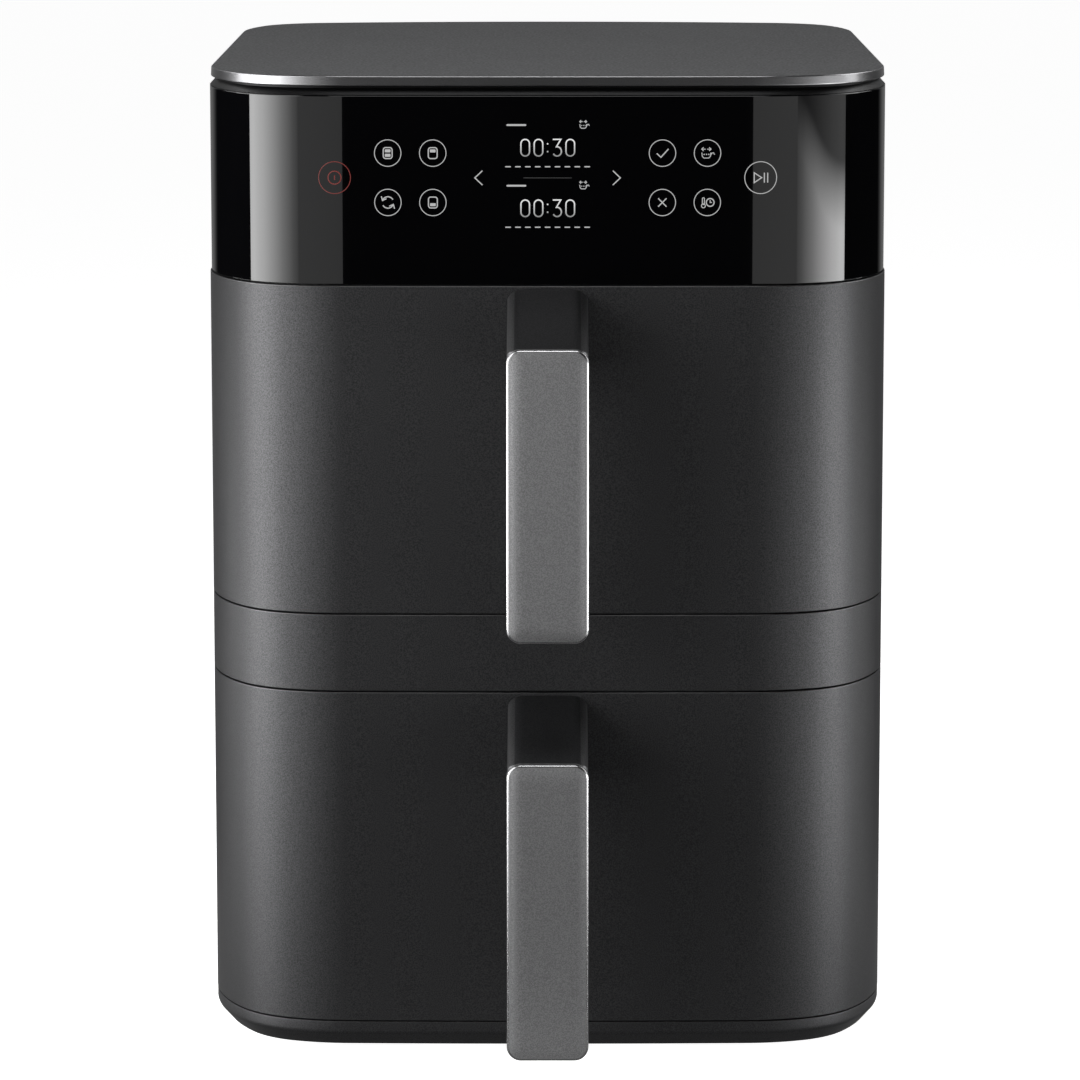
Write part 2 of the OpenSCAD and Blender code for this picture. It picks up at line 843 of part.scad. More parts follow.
placed() base_tray();
placed() feet();
placed() front_frame();
placed() front_band();
placed() control_panel();
placed() side_shell_left();
placed() side_shell_right();
placed() rear_cover();
placed() mid_deck();
placed() electronics_tray();
placed() top_neck();
placed() top_cover();
placed() display_module();
placed() touch_board();
placed() power_board();
placed() wire_harness();
placed() cord_gland();
placed() housing_screws();

placed(upper_z) chamber_liner();  // upper_chamber_liner
placed(upper_z) drawer_rails();  // upper_drawer_rails
placed(upper_z) fan_guard();  // upper_fan_guard
placed(upper_z) heater_coil();  // upper_heater_coil
placed(upper_z) fan_motor();  // upper_fan_motor
placed(upper_z) temp_sensor();  // upper_temp_sensor
placed(upper_z) drawer_switch();  // upper_drawer_switch
placed(upper_z) drawer_front(upper_front_h);  // upper_drawer_front
placed(upper_z) drawer_bracket(upper_front_h);  // upper_drawer_bracket
placed(upper_z) drawer_pan();  // upper_drawer_pan
placed(upper_z) pan_rivets();  // upper_pan_rivets
placed(upper_z) handle_arm(upper_front_h);  // upper_handle_arm
placed(upper_z) handle_grip(upper_front_h);  // upper_handle_grip
placed(upper_z) handle_screws(upper_front_h);  // upper_handle_screws
placed(upper_z) crisper_plate();  // upper_crisper_plate
placed(upper_z) crisper_bumpers();  // upper_crisper_bumpers
placed(upper_z) fan_impeller();  // upper_fan_impeller
placed(upper_z) fan_shaft();  // upper_fan_shaft
placed(upper_z) cooling_fan();  // upper_cooling_fan

placed(lower_z) chamber_liner();  // lower_chamber_liner
placed(lower_z) drawer_rails();  // lower_drawer_rails
placed(lower_z) fan_guard();  // lower_fan_guard
placed(lower_z) heater_coil();  // lower_heater_coil
placed(lower_z) fan_motor();  // lower_fan_motor
placed(lower_z) temp_sensor();  // lower_temp_sensor
placed(lower_z) drawer_switch();  // lower_drawer_switch
placed(lower_z) drawer_front(lower_front_h);  // lower_drawer_front
placed(lower_z) drawer_bracket(lower_front_h);  // lower_drawer_bracket
placed(lower_z) drawer_pan();  // lower_drawer_pan
placed(lower_z) pan_rivets();  // lower_pan_rivets
placed(lower_z) handle_arm(lower_front_h);  // lower_handle_arm
placed(lower_z) handle_grip(lower_front_h);  // lower_handle_grip
placed(lower_z) handle_screws(lower_front_h);  // lower_handle_screws
placed(lower_z) crisper_plate();  // lower_crisper_plate
placed(lower_z) crisper_bumpers();  // lower_crisper_bumpers
placed(lower_z) fan_impeller();  // lower_fan_impeller
placed(lower_z) fan_shaft();  // lower_fan_shaft
placed(lower_z) cooling_fan();  // lower_cooling_fan
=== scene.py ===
"""Double-stack air fryer: its shells, handles, drawers and touch panel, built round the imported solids."""

import json
import math

import bmesh
import bpy
from mathutils import Matrix, Vector


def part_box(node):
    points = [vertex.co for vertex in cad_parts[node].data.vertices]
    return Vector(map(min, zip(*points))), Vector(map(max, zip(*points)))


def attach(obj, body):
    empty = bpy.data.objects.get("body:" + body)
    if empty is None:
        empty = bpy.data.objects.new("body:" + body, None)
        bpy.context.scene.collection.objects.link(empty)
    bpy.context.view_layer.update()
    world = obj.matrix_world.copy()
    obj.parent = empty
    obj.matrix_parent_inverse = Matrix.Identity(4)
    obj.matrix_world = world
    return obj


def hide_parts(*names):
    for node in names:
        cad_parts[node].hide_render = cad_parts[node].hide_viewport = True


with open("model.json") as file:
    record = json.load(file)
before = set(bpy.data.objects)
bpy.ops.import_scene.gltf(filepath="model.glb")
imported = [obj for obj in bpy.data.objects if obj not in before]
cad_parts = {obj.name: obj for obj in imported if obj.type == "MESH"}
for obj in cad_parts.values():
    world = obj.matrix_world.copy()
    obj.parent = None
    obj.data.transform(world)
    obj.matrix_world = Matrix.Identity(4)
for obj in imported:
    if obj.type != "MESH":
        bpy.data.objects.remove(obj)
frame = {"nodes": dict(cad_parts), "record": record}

bl_info = {
    "name": "Air Fryer Shells and Finishes",
    "version": (1, 0, 0),
    "blender": (4, 5, 0),
    "location": "View3D > Sidebar > Air Fryer",
    "description": "Builds the shells, handles, drawers, touch panel and studio of a double-stack air fryer",
    "category": "Object",
}

MM = 0.001
WHITE = (1.0, 1.0, 1.0, 1.0)
ZONES = ("upper", "lower")
ARC_STEPS = 14
RING_STEPS = 48
SHARP_ANGLE = math.radians(35)

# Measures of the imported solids
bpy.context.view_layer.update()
HALF_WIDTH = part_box("front_band")[1].x
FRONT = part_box("front_band")[0].y
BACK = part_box("rear_cover")[1].y - 0.01 * MM
SEAM_GROWTH = 0.1 * MM

# Openings in the rear cover
VENT_SLOTS = 15
VENT_PITCH = 8 * MM
VENT_WIDTH = 3.2 * MM
VENT_HALF_LENGTH = 20 * MM
GLAND_OPENING = 10.6 * MM
SCREW_RECESS = 4.0 * MM
COVER_SCREWS = ((80 * MM, 24 * MM), (80 * MM, 366.7 * MM))

# The touch panel: places from its middle row and the centre line, and line widths
PANEL_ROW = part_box("control_panel")[0].z + 41.2 * MM
KEY_ROW = 9.5 * MM
KEY_COLUMNS = (44.1 * MM, 61.4 * MM)
KEY_RADIUS = 5.1 * MM
END_KEY = 81.9 * MM
END_KEY_RADIUS = 6.15 * MM
ARROW_COLUMN = 26.5 * MM
DISPLAY_ROWS = {"upper": 11.6 * MM, "lower": -11.7 * MM}
DIGIT_SIZE = (3.8 * MM, 6.9 * MM, 0.50 * MM)
HAIR = 0.30 * MM
FINE = 0.42 * MM

# Where a normal points on the faces that have an edge finish; on the arms that finish is a lighter colour, a
# painted highlight on their rounded sides
LID_RIM_BELOW = 0.5
ARM_HIGHLIGHT_NORMALS = (0.35, 0.97)
GRIP_EDGE_NORMALS = (-0.97, -0.1)

# The camera: its lens and shift are in picture widths of that many pixels
CAMERA_TILT = math.radians(9.046)
CAMERA_DISTANCE = 2.0189
AIM_HEIGHT = 0.2065
SENSOR_WIDTH = 36.0
PICTURE_PIXELS = 1080
LENS_PIXELS = 5200
SHIFT_PIXELS = 7.6

# Glows in what the surfaces reflect: from, to, and the level at each end
GLOW_BESIDE = (0.24, 0.42, 0.0, 1.8)
GLOW_WITHIN = (0.50, 0.75, 1.0, 0.0)
GLOW_ALONGSIDE = (-0.15, 0.20, 1.0, 0.0)
GLOW_FORWARD = (-1.30, -0.90, 0.0, 1.0)
GLOW_BEHIND = (0.82, 0.94, 0.0, 0.2)
GLOW_NEAR = (0.26, 0.34, 0.22, 0.0)
FAR_WALL = (0.80, 0.93, 0.001, 0.18)
FLOOR_REACH = 14.0
FLOOR_SEEN_GLOW = 0.97
FLOOR_SHADES = (0.012, 0.60)

# The soft boxes: plan places, heights, and levels as (share, level) stops along or up a box
SIDE, SIDE_REAR, SIDE_BEND = 0.9, -0.10, -1.30
BOARD_END = (0.285, -2.15)
BOARD_LOW, BOARD_HIGH = 0.05, 0.32
FOOT_HIGH, LEDGE, LOW_TOP, HIGH_TOP = 0.10, 0.33, 0.62, 1.6
DIFFUSER = ((0.0, 8.0), (0.07, 9.2), (0.25, 8.2), (0.42, 6.2), (0.66, 3.6), (0.88, 1.6), (1.0, 1.0))
LEFT_RISE = ((0.0, 2.8), (0.09, 2.6), (0.15, 1.0), (0.45, 1.0), (1.0, 1.0))
RIGHT_RISE = ((0.0, 2.2), (0.09, 2.0), (0.14, 1.0), (0.40, 1.0), (0.46, 0.1), (1.0, 0.1))
HIGH_LEFT = ((0.0, 3.0), (0.3, 3.0), (0.45, 1.5), (0.75, 4.0), (1.0, 6.0))
BOARD = ((0.0, 0.8), (1.0, 0.7))


# ---- Sizes and colours a user would change ----


def length(name, description, default):
    return bpy.props.FloatProperty(name=name, description=description, default=default, unit="LENGTH")


def paint(name, description, default):
    return bpy.props.FloatVectorProperty(
        name=name, description=description, default=default, subtype="COLOR", min=0, max=1
    )


class ShellSizes(bpy.types.PropertyGroup):
    """Sizes of the outer shells."""

    front_radius: length("Front bow", "Radius of the bowed front", 3.28)
    back_radius: length("Back bow", "Radius of the bowed back", 0.54)
    wrap: length("Wrap", "How far the front shells reach round the corners", 71.4 * MM)
    rear_wrap: length("Rear wrap", "How far the rear cover reaches round its corners", 76 * MM)
    skin: length("Skin", "Thickness of the shells", 3 * MM)
    gap: length("Seam", "Gap that shows in a seam", 0.5 * MM)
    edge: length("Edge radius", "Rounding of the shells' edges", 0.4 * MM)
    panel_inset: length(
        "Panel inset", "How far the panel stands back from the drawer fronts", 0.5 * MM
    )


class HandleSizes(bpy.types.PropertyGroup):
    """Sizes of the handles."""

    arm_radius: length("Arm edge", "Rounding of the arm's long edges", 4.2 * MM)
    arm_rise: length("Arm rise", "How far the arm's root rises towards the seam above it", 0.8 * MM)
    grip_corner: length("Grip corner", "Radius of the grip plate's corners", 5.5 * MM)
    grip_edge: length("Grip edge", "Rounding of the grip plate's front edge", 1.3 * MM)


class Finishes(bpy.types.PropertyGroup):
    """Colours of the main finishes."""

    charcoal: paint("Charcoal", "Paint of the drawer fronts and the band", (0.045, 0.045, 0.0465))
    grip: paint("Grip", "Satin metal of the grip plates", (0.33, 0.33, 0.335))
    lid: paint("Lid", "Metallic paint of the lid", (0.095, 0.095, 0.097))
    icon: paint("Icons", "Light of the icons", (0.45, 0.45, 0.45))
    power: paint("Power key", "Light of the power key", (0.16, 0.012, 0.008))


# ---- The plan outline: chains of tangent arcs ----


class Outline:
    """The body's plan. Each arc is (radius, heading in degrees where it ends), from the centre line."""

    FRONT_REST = ((69 * MM, 21.5), (38.5 * MM, 59.0), (89 * MM, 90.0))
    BACK_REST = ((36 * MM, 70.5), (124 * MM, 90.0))

    def __init__(self, sizes):
        self.front = self.chain(sizes.front_radius, self.FRONT_REST)
        self.back = self.chain(sizes.back_radius, self.BACK_REST)

    @staticmethod
    def chain(radius, rest):
        """The first arc ends where the half width makes it end. Gives (radius, start, end, centre)."""
        reach = rest[-1][0]
        for (here, heading), (after, _) in zip(rest, rest[1:]):
            reach += (here - after) * math.sin(math.radians(heading))
        first = math.asin((HALF_WIDTH - reach) / (radius - rest[0][0]))
        arcs = []
        start, centre, last = 0.0, Vector((0.0, radius)), radius
        for size, end in ((radius, math.degrees(first)), *rest):
            turn = math.radians(end)
            centre = centre + (last - size) * Vector((math.sin(start), -math.cos(start)))
            arcs.append((size, start, turn, centre))
            start, last = turn, size
        return arcs

    @staticmethod
    def quarter(arcs, inset):
        """Points (x, depth) from the centre line to the side."""
        points = []
        for size, start, end, centre in arcs:
            for step in range(0 if not points else 1, ARC_STEPS + 1):
                heading = start + (end - start) * step / ARC_STEPS
                points.append(centre + (size - inset) * Vector((math.sin(heading), -math.cos(heading))))
        return points

    def end_line(self, inset, reach, rear=False):
        """A line round one end, from side to side, which reaches that far along each side."""
        half = self.quarter(self.back if rear else self.front, inset)
        half.append(Vector((HALF_WIDTH - inset, reach)))
        depth = (lambda d: BACK - d) if rear else (lambda d: FRONT + d)
        right = [(p.x, depth(p.y)) for p in half]
        return [(-x, y) for x, y in reversed(right[1:])] + right

    def loop(self, inset):
        """The whole outline as a closed loop."""
        right = [(p.x, FRONT + p.y) for p in self.quarter(self.front, inset)]
        right += [(p.x, BACK - p.y) for p in reversed(self.quarter(self.back, inset))]
        return right + [(-x, y) for x, y in reversed(right[1:-1])]

    def front_at(self, x, inset):
        """The y of the front surface at x."""
        x = abs(x)
        for size, start, end, centre in self.front:
            if x <= centre.x + (size - inset) * math.sin(end) + 1e-9:
                across = x - centre.x
                return FRONT + centre.y - math.sqrt(max((size - inset) ** 2 - across ** 2, 0.0))
        return FRONT + centre.y


def rounded_loop(width, low, high, radius, steps=8):
    """A rectangle with round corners, centred on the first axis, from low to high on the second."""
    radius = max(radius, 0.2 * MM)
    corners = (
        (width / 2 - radius, low + radius, -90), (width / 2 - radius, high - radius, 0),
        (radius - width / 2, high - radius, 90), (radius - width / 2, low + radius, 180),
    )
    return [
        (x + radius * math.cos(math.radians(start + 90 * step / steps)),
         y + radius * math.sin(math.radians(start + 90 * step / steps)))
        for x, y, start in corners for step in range(steps + 1)
    ]


def filleted(corners, steps=8):
    """A polygon from (x, y, radius) corners, each rounded by an arc of that radius."""
    points = []
    for i, (x, y, radius) in enumerate(corners):
        here = Vector((x, y))
        if not radius:
            points.append(tuple(here))
            continue
        before = (Vector(corners[i - 1][:2]) - here).normalized()
        after = (Vector(corners[(i + 1) % len(corners)][:2]) - here).normalized()
        half = before.angle(after) / 2
        centre = here + (before + after).normalized() * radius / math.sin(half)
        start = here + before * radius / math.tan(half) - centre
        end = here + after * radius / math.tan(half) - centre
        turn = start.angle_signed(end)
        for step in range(steps + 1):
            angle = -turn * step / steps
            spun = Vector((
                start.x * math.cos(angle) - start.y * math.sin(angle),
                start.x * math.sin(angle) + start.y * math.cos(angle),
            ))
            points.append(tuple(centre + spun))
    return points


def inset_corners(corners, inset, fixed):
    """The same corners with every edge but the fixed one moved inwards; their arcs keep their centres."""
    lines = []
    for i, (x, y, _) in enumerate(corners):
        here, after = Vector((x, y)), Vector(corners[(i + 1) % len(corners)][:2])
        along = (after - here).normalized()
        lines.append((here + Vector((-along.y, along.x)) * (0.0 if i == fixed else inset), along))
    moved = []
    for i, (_, _, radius) in enumerate(corners):
        (start, along), (other, onward) = lines[i - 1], lines[i]
        turn = along.cross(onward)
        meet = start + along * ((other - start).cross(onward) / turn)
        grown = max(radius - math.copysign(inset, turn), 0.05 * MM) if radius else 0.0
        moved.append((meet.x, meet.y, grown))
    return moved


def quarter_arc(steps):
    """A quarter turn in even steps, as (1 - cosine, 1 - sine)."""
    turns = [math.radians(90 * i / steps) for i in range(steps + 1)]
    return [(1 - math.cos(turn), 1 - math.sin(turn)) for turn in turns]


def disc(u, v, radius, steps=32):
    """A circle of points."""
    turns = [2 * math.pi * i / steps for i in range(steps)]
    return [(u + radius * math.cos(turn), v + radius * math.sin(turn)) for turn in turns]


# ---- Making meshes and pieces ----


def loft(rows, closed_rows=True, closed_across=False):
    """Vertices and faces of a skin over rows of points; open ends are capped."""
    count = len(rows[0])
    verts = [Vector(p) for row in rows for p in row]
    faces = []
    for r in range(len(rows) if closed_across else len(rows) - 1):
        s = (r + 1) % len(rows)
        for i in range(count if closed_rows else count - 1):
            j = (i + 1) % count
            faces.append((r * count + i, r * count + j, s * count + j, s * count + i))
    if closed_across:
        faces.append(tuple(r * count for r in range(len(rows))))
        faces.append(tuple(r * count + count - 1 for r in range(len(rows))))
    else:
        faces.append(tuple(range(count)))
        faces.append(tuple(range((len(rows) - 1) * count, len(rows) * count)))
    return verts, faces


def add_object(name, data):
    """A new object in the scene."""
    thing = bpy.data.objects.new(name, data)
    bpy.context.scene.collection.objects.link(thing)
    return thing


def make_object(name, verts, faces, material, sharp=35.0):
    """A closed mesh object with even normals, smooth but for edges sharper than that angle."""
    mesh = bpy.data.meshes.new(name)
    mesh.from_pydata(verts, [], faces)
    form = bmesh.new()
    form.from_mesh(mesh)
    bmesh.ops.remove_doubles(form, verts=form.verts, dist=1e-7)
    bmesh.ops.recalc_face_normals(form, faces=form.faces)
    form.to_mesh(mesh)
    form.free()
    mesh.shade_smooth()
    mesh.set_sharp_from_angle(angle=math.radians(sharp))
    mesh.materials.append(material)
    return add_object(name, mesh)


def round_edges(piece, width, segments=3, edge=None):
    """Rounds the sharp edges, with a finish of their own if one is given."""
    bevel = piece.modifiers.new("Edges", "BEVEL")
    bevel.width = width
    bevel.segments = segments
    bevel.limit_method = "ANGLE"
    bevel.angle_limit = SHARP_ANGLE
    bevel.harden_normals = True
    bevel.miter_outer = "MITER_ARC"
    if edge:
        piece.data.materials.append(edge)
        bevel.material = len(piece.data.materials) - 1


def finish_faces(piece, slot, chosen):
    """Gives the faces whose normal is chosen a second finish."""
    piece.data.materials.append(finish_for(slot))
    for face in piece.data.polygons:
        face.material_index = int(chosen(face.normal))


def install(piece, body, slot, *nodes):
    """Puts a piece on its body and lets it stand for its CAD nodes; the slot is not used."""
    if nodes:
        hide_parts(*nodes)
    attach(piece, body)


def wrap_skin(name, outline, outer, inner, reach, low, high, material, rear=False):
    """A shell round one end of the body, between two insets and two heights."""
    outside = outline.end_line(outer, reach, rear)
    inside = outline.end_line(inner, reach, rear)
    rows = [
        [(x, y, low) for x, y in outside], [(x, y, high) for x, y in outside],
        [(x, y, high) for x, y in inside], [(x, y, low) for x, y in inside],
    ]
    return make_object(name, *loft(rows, closed_rows=False, closed_across=True), material)


def charcoal_shell(name, body, node, outline, sizes):
    """A painted shell round the front, in the place of a CAD node; its rounded edges get a lighter colour
    that paints their highlight.
    """
    low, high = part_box(node)
    piece = wrap_skin(
        name, outline, 0.0, sizes.skin, sizes.wrap, low.z - SEAM_GROWTH, high.z + SEAM_GROWTH,
        finish_for("charcoal_paint"),
    )
    # The rounded edges take the lighter charcoal: a painted highlight along each edge
    round_edges(piece, sizes.edge, edge=finish_for("charcoal_edge_highlight"))
    install(piece, body, "charcoal_paint", node)


def cut_out(piece, lofts):
    """Takes lofted forms out of a piece."""
    verts, faces = [], []
    for rows in lofts:
        new_verts, new_faces = loft(rows)
        faces += [tuple(len(verts) + i for i in face) for face in new_faces]
        verts += new_verts
    cutter = make_object("cutter", verts, faces, piece.data.materials[0])
    carve = piece.modifiers.new("Openings", "BOOLEAN")
    carve.operation = "DIFFERENCE"
    carve.solver = "EXACT"
    carve.object = cutter
    view = bpy.context.evaluated_depsgraph_get()
    mesh = bpy.data.meshes.new_from_object(piece.evaluated_get(view))
    piece.modifiers.clear()
    piece.data = mesh
    mesh.set_sharp_from_angle(angle=SHARP_ANGLE)
    bpy.data.objects.remove(cutter)


# ---- Shader groups ----


def feed(tree, node, values):
    """Sets a node's inputs by name or place; an input that is given a socket is linked to it."""
    for key, value in values.items():
        socket = node.inputs[key.replace("_", " ") if isinstance(key, str) else key]
        if isinstance(value, bpy.types.NodeSocket):
            tree.links.new(value, socket)
        else:
            socket.default_value = value


def add_node(tree, kind, *places, **names):
    """A node with its first inputs in order, and its properties and other inputs by name."""
    node = tree.nodes.new(kind)
    values = dict(enumerate(places))
    for label, value in names.items():
        if hasattr(node, label):
            setattr(node, label, value)
        else:
            values[label] = value
    feed(tree, node, values)
    return node


def add_output(tree, kind, output, *places, **names):
    """One output of a new node."""
    return add_node(tree, kind, *places, **names).outputs[output]


def coordinates(tree, space="Object"):
    return add_output(tree, "ShaderNodeTexCoord", space)


def axis_of(tree, vector, axis):
    return add_output(tree, "ShaderNodeSeparateXYZ", axis, vector)


def smooth_step(tree, value, start, end, low, high):
    """A level that goes smoothly from low to high while the value goes from start to end."""
    return add_output(
        tree, "ShaderNodeMapRange", "Result", interpolation_type="SMOOTHSTEP",
        Value=value, From_Min=start, From_Max=end, To_Min=low, To_Max=high,
    )


def satin_grain(tree, place, entry):
    """Fine blasted grain with a slow cloudiness: a mask of each, and the grain's height."""
    noise = "ShaderNodeTexNoise"
    fine = add_output(tree, noise, "Fac", Vector=place, Scale=entry["Grain Size"], Detail=0.0)
    cloud = add_output(
        tree, noise, "Fac", Vector=place, Scale=entry["Cloud Size"], Detail=3.0, Roughness=0.5
    )
    grain = add_output(tree, "ShaderNodeMapRange", "Result", Value=fine, From_Min=0.30, From_Max=0.70)
    return {"Grain": grain, "Cloud": cloud, "Height": fine}


def moulded_texture(tree, place, entry):
    """The pebbled skin of moulded plastic: a mask and its height."""
    cells = add_output(
        tree, "ShaderNodeTexVoronoi", "Distance", feature="SMOOTH_F1",
        Vector=place, Scale=entry["Pebble Size"],
    )
    soft = add_output(tree, "ShaderNodeTexNoise", "Fac", Vector=place, Scale=60.0, Detail=2.0)
    return {"Pebbles": soft, "Height": cells}


def brushed_lines(tree, place, entry):
    """Long fine lines along X, as rolled or brushed sheet has: a mask and its height."""
    stretch = add_output(tree, "ShaderNodeCombineXYZ", "Vector", entry["Stretch"], 1.0, 1.0)
    squashed = add_output(tree, "ShaderNodeVectorMath", "Vector", place, stretch, operation="MULTIPLY")
    lines = add_output(
        tree, "ShaderNodeTexNoise", "Fac",
        Vector=squashed, Scale=entry["Line Size"], Detail=4.0, Roughness=0.6,
    )
    return {"Lines": lines, "Height": lines}


def speckle(tree, place, entry):
    """Sparse small flecks, as in a non-stick coating."""
    cells = add_output(tree, "ShaderNodeTexVoronoi", "Distance", Vector=place, Scale=entry["Fleck Size"])
    flecks = add_output(
        tree, "ShaderNodeMath", "Value", cells, entry["Sparseness"], operation="LESS_THAN"
    )
    return {"Flecks": flecks}


SHADER_GROUPS = {
    "Satin Grain": (satin_grain, {"Grain Size": 2600.0, "Cloud Size": 14.0}),
    "Moulded Texture": (moulded_texture, {"Pebble Size": 1500.0}),
    "Brushed Lines": (brushed_lines, {"Line Size": 900.0, "Stretch": 0.03}),
    "Speckle": (speckle, {"Fleck Size": 900.0, "Sparseness": 0.12}),
}


def shader_group(name):
    """The shared node group of that name, made when it is first asked for."""
    if name in bpy.data.node_groups:
        return bpy.data.node_groups[name]
    build, sizes = SHADER_GROUPS[name]
    tree = bpy.data.node_groups.new(name, "ShaderNodeTree")
    for label, default in sizes.items():
        socket = tree.interface.new_socket(label, in_out="INPUT", socket_type="NodeSocketFloat")
        socket.default_value = default
    results = build(tree, coordinates(tree), tree.nodes.new("NodeGroupInput").outputs)
    for label in results:
        tree.interface.new_socket(label, in_out="OUTPUT", socket_type="NodeSocketFloat")
    feed(tree, tree.nodes.new("NodeGroupOutput"), results)
    return tree


# ---- Materials ----


class Finish:
    """A material being built round one Principled shader."""

    def __init__(self, name, **values):
        self.material = bpy.data.materials.new(name)
        self.material.use_nodes = True
        self.tree = self.material.node_tree
        self.set(**values)

    def set(self, **values):
        """Sets or links the shader's inputs."""
        feed(self.tree, self.tree.nodes["Principled BSDF"], values)

    def group(self, name, **sizes):
        """The outputs of one of the shared groups, with its own sizes."""
        return add_node(self.tree, "ShaderNodeGroup", node_tree=shader_group(name), **sizes).outputs

    def colour_by(self, mask, dark, light):
        """Base colour that moves between two colours with a mask."""
        mix = add_node(self.tree, "ShaderNodeMix", data_type="RGBA", Factor=mask)
        for socket in mix.inputs:
            if socket.type == "RGBA":
                socket.default_value = (*(dark if socket.name == "A" else light), 1.0)
        self.set(Base_Color=next(socket for socket in mix.outputs if socket.type == "RGBA"))

    def roughness_by(self, mask, low, high):
        """Roughness that moves between two values with a mask."""
        self.set(Roughness=add_output(
            self.tree, "ShaderNodeMapRange", "Result", Value=mask, To_Min=low, To_Max=high
        ))

    def bump(self, height, distance):
        """Relief from a height, in metres."""
        self.set(Normal=add_output(
            self.tree, "ShaderNodeBump", "Normal", Height=height, Distance=distance, Strength=1.0
        ))


def scaled(colour, factor):
    return tuple(min(c * factor, 1.0) for c in colour)


def grey(level):
    return (level, level, level)


def textured(name, colour, metallic, group, shades, roughness, relief=None, **sizes):
    """A finish from a shared group: shades and roughness are each (mask, low, high)."""
    finish = Finish(name, Metallic=metallic)
    masks = finish.group(group, **sizes)
    mask, dark, light = shades
    finish.colour_by(masks[mask], scaled(colour, dark), scaled(colour, light))
    mask, low, high = roughness
    finish.roughness_by(masks[mask], low, high)
    if relief:
        finish.bump(masks["Height"], relief)
    return finish.material


def satin_metal(name, colour, metallic, roughness, grain=2600.0, contrast=0.28, relief=1.2e-6):
    """Blasted or painted metal with a fine grain."""
    return textured(
        name, colour, metallic, "Satin Grain", ("Grain", 1 - contrast, 1 + contrast),
        ("Cloud", roughness - 0.025, roughness + 0.025), relief, Grain_Size=grain,
    )


def moulded_plastic(name, colour, roughness, pebbles=1500.0, relief=2e-5):
    """Textured moulded plastic or rubber."""
    return textured(
        name, colour, 0.0, "Moulded Texture", ("Pebbles", 0.85, 1.15),
        ("Pebbles", roughness - 0.05, roughness + 0.05), relief, Pebble_Size=pebbles,
    )


def rolled_metal(name, colour, roughness, lines=900.0):
    """Bare sheet or turned metal with fine lines."""
    return textured(
        name, colour, 1.0, "Brushed Lines", ("Lines", 0.8, 1.15),
        ("Lines", roughness - 0.1, roughness + 0.1), 3e-6, Line_Size=lines,
    )


def gloss_plastic(name, colour):
    """Polished plastic or glass-like panel, with the faintest cloudiness."""
    return textured(
        name, colour, 0.0, "Satin Grain", ("Cloud", 0.9, 1.1), ("Cloud", 0.02, 0.035), Cloud_Size=9.0
    )


def coated_pan(name, colour):
    """Dark non-stick coating with small flecks."""
    finish = Finish(name, Metallic=0.15)
    flecks = finish.group("Speckle", Fleck_Size=700.0, Sparseness=0.10)
    grains = finish.group("Satin Grain", Grain_Size=1800.0, Cloud_Size=10.0)
    finish.colour_by(flecks["Flecks"], colour, scaled(colour, 4.0))
    finish.roughness_by(grains["Cloud"], 0.30, 0.42)
    finish.bump(grains["Height"], 8e-6)
    return finish.material


def lit_ink(name, colour, fade=1.0):
    """Ink lit from behind, which fades to a share of its light at the foot of its piece."""
    finish = Finish(name, Base_Color=(*grey(0.01), 1.0), Roughness=0.4, Emission_Strength=1.0)
    height = axis_of(finish.tree, coordinates(finish.tree, "Generated"), "Z")
    ramp = add_node(finish.tree, "ShaderNodeValToRGB", Fac=height)
    foot, top = ramp.color_ramp.elements
    foot.color = (*scaled(colour, fade), 1.0)
    top.color = (*colour, 1.0)
    top.position = 0.8
    finish.set(Emission_Color=ramp.outputs["Color"])
    return finish.material


def circuit_board(name):
    """Green board with lighter tracks."""
    finish = Finish(name)
    tracks = add_node(
        finish.tree, "ShaderNodeTexBrick", Vector=coordinates(finish.tree), Scale=180.0,
        Color1=(0.010, 0.085, 0.035, 1.0), Color2=(0.008, 0.065, 0.026, 1.0),
        Mortar=(0.030, 0.160, 0.060, 1.0),
    )
    finish.set(Base_Color=tracks.outputs["Color"])
    finish.roughness_by(tracks.outputs["Fac"], 0.3, 0.45)
    return finish.material


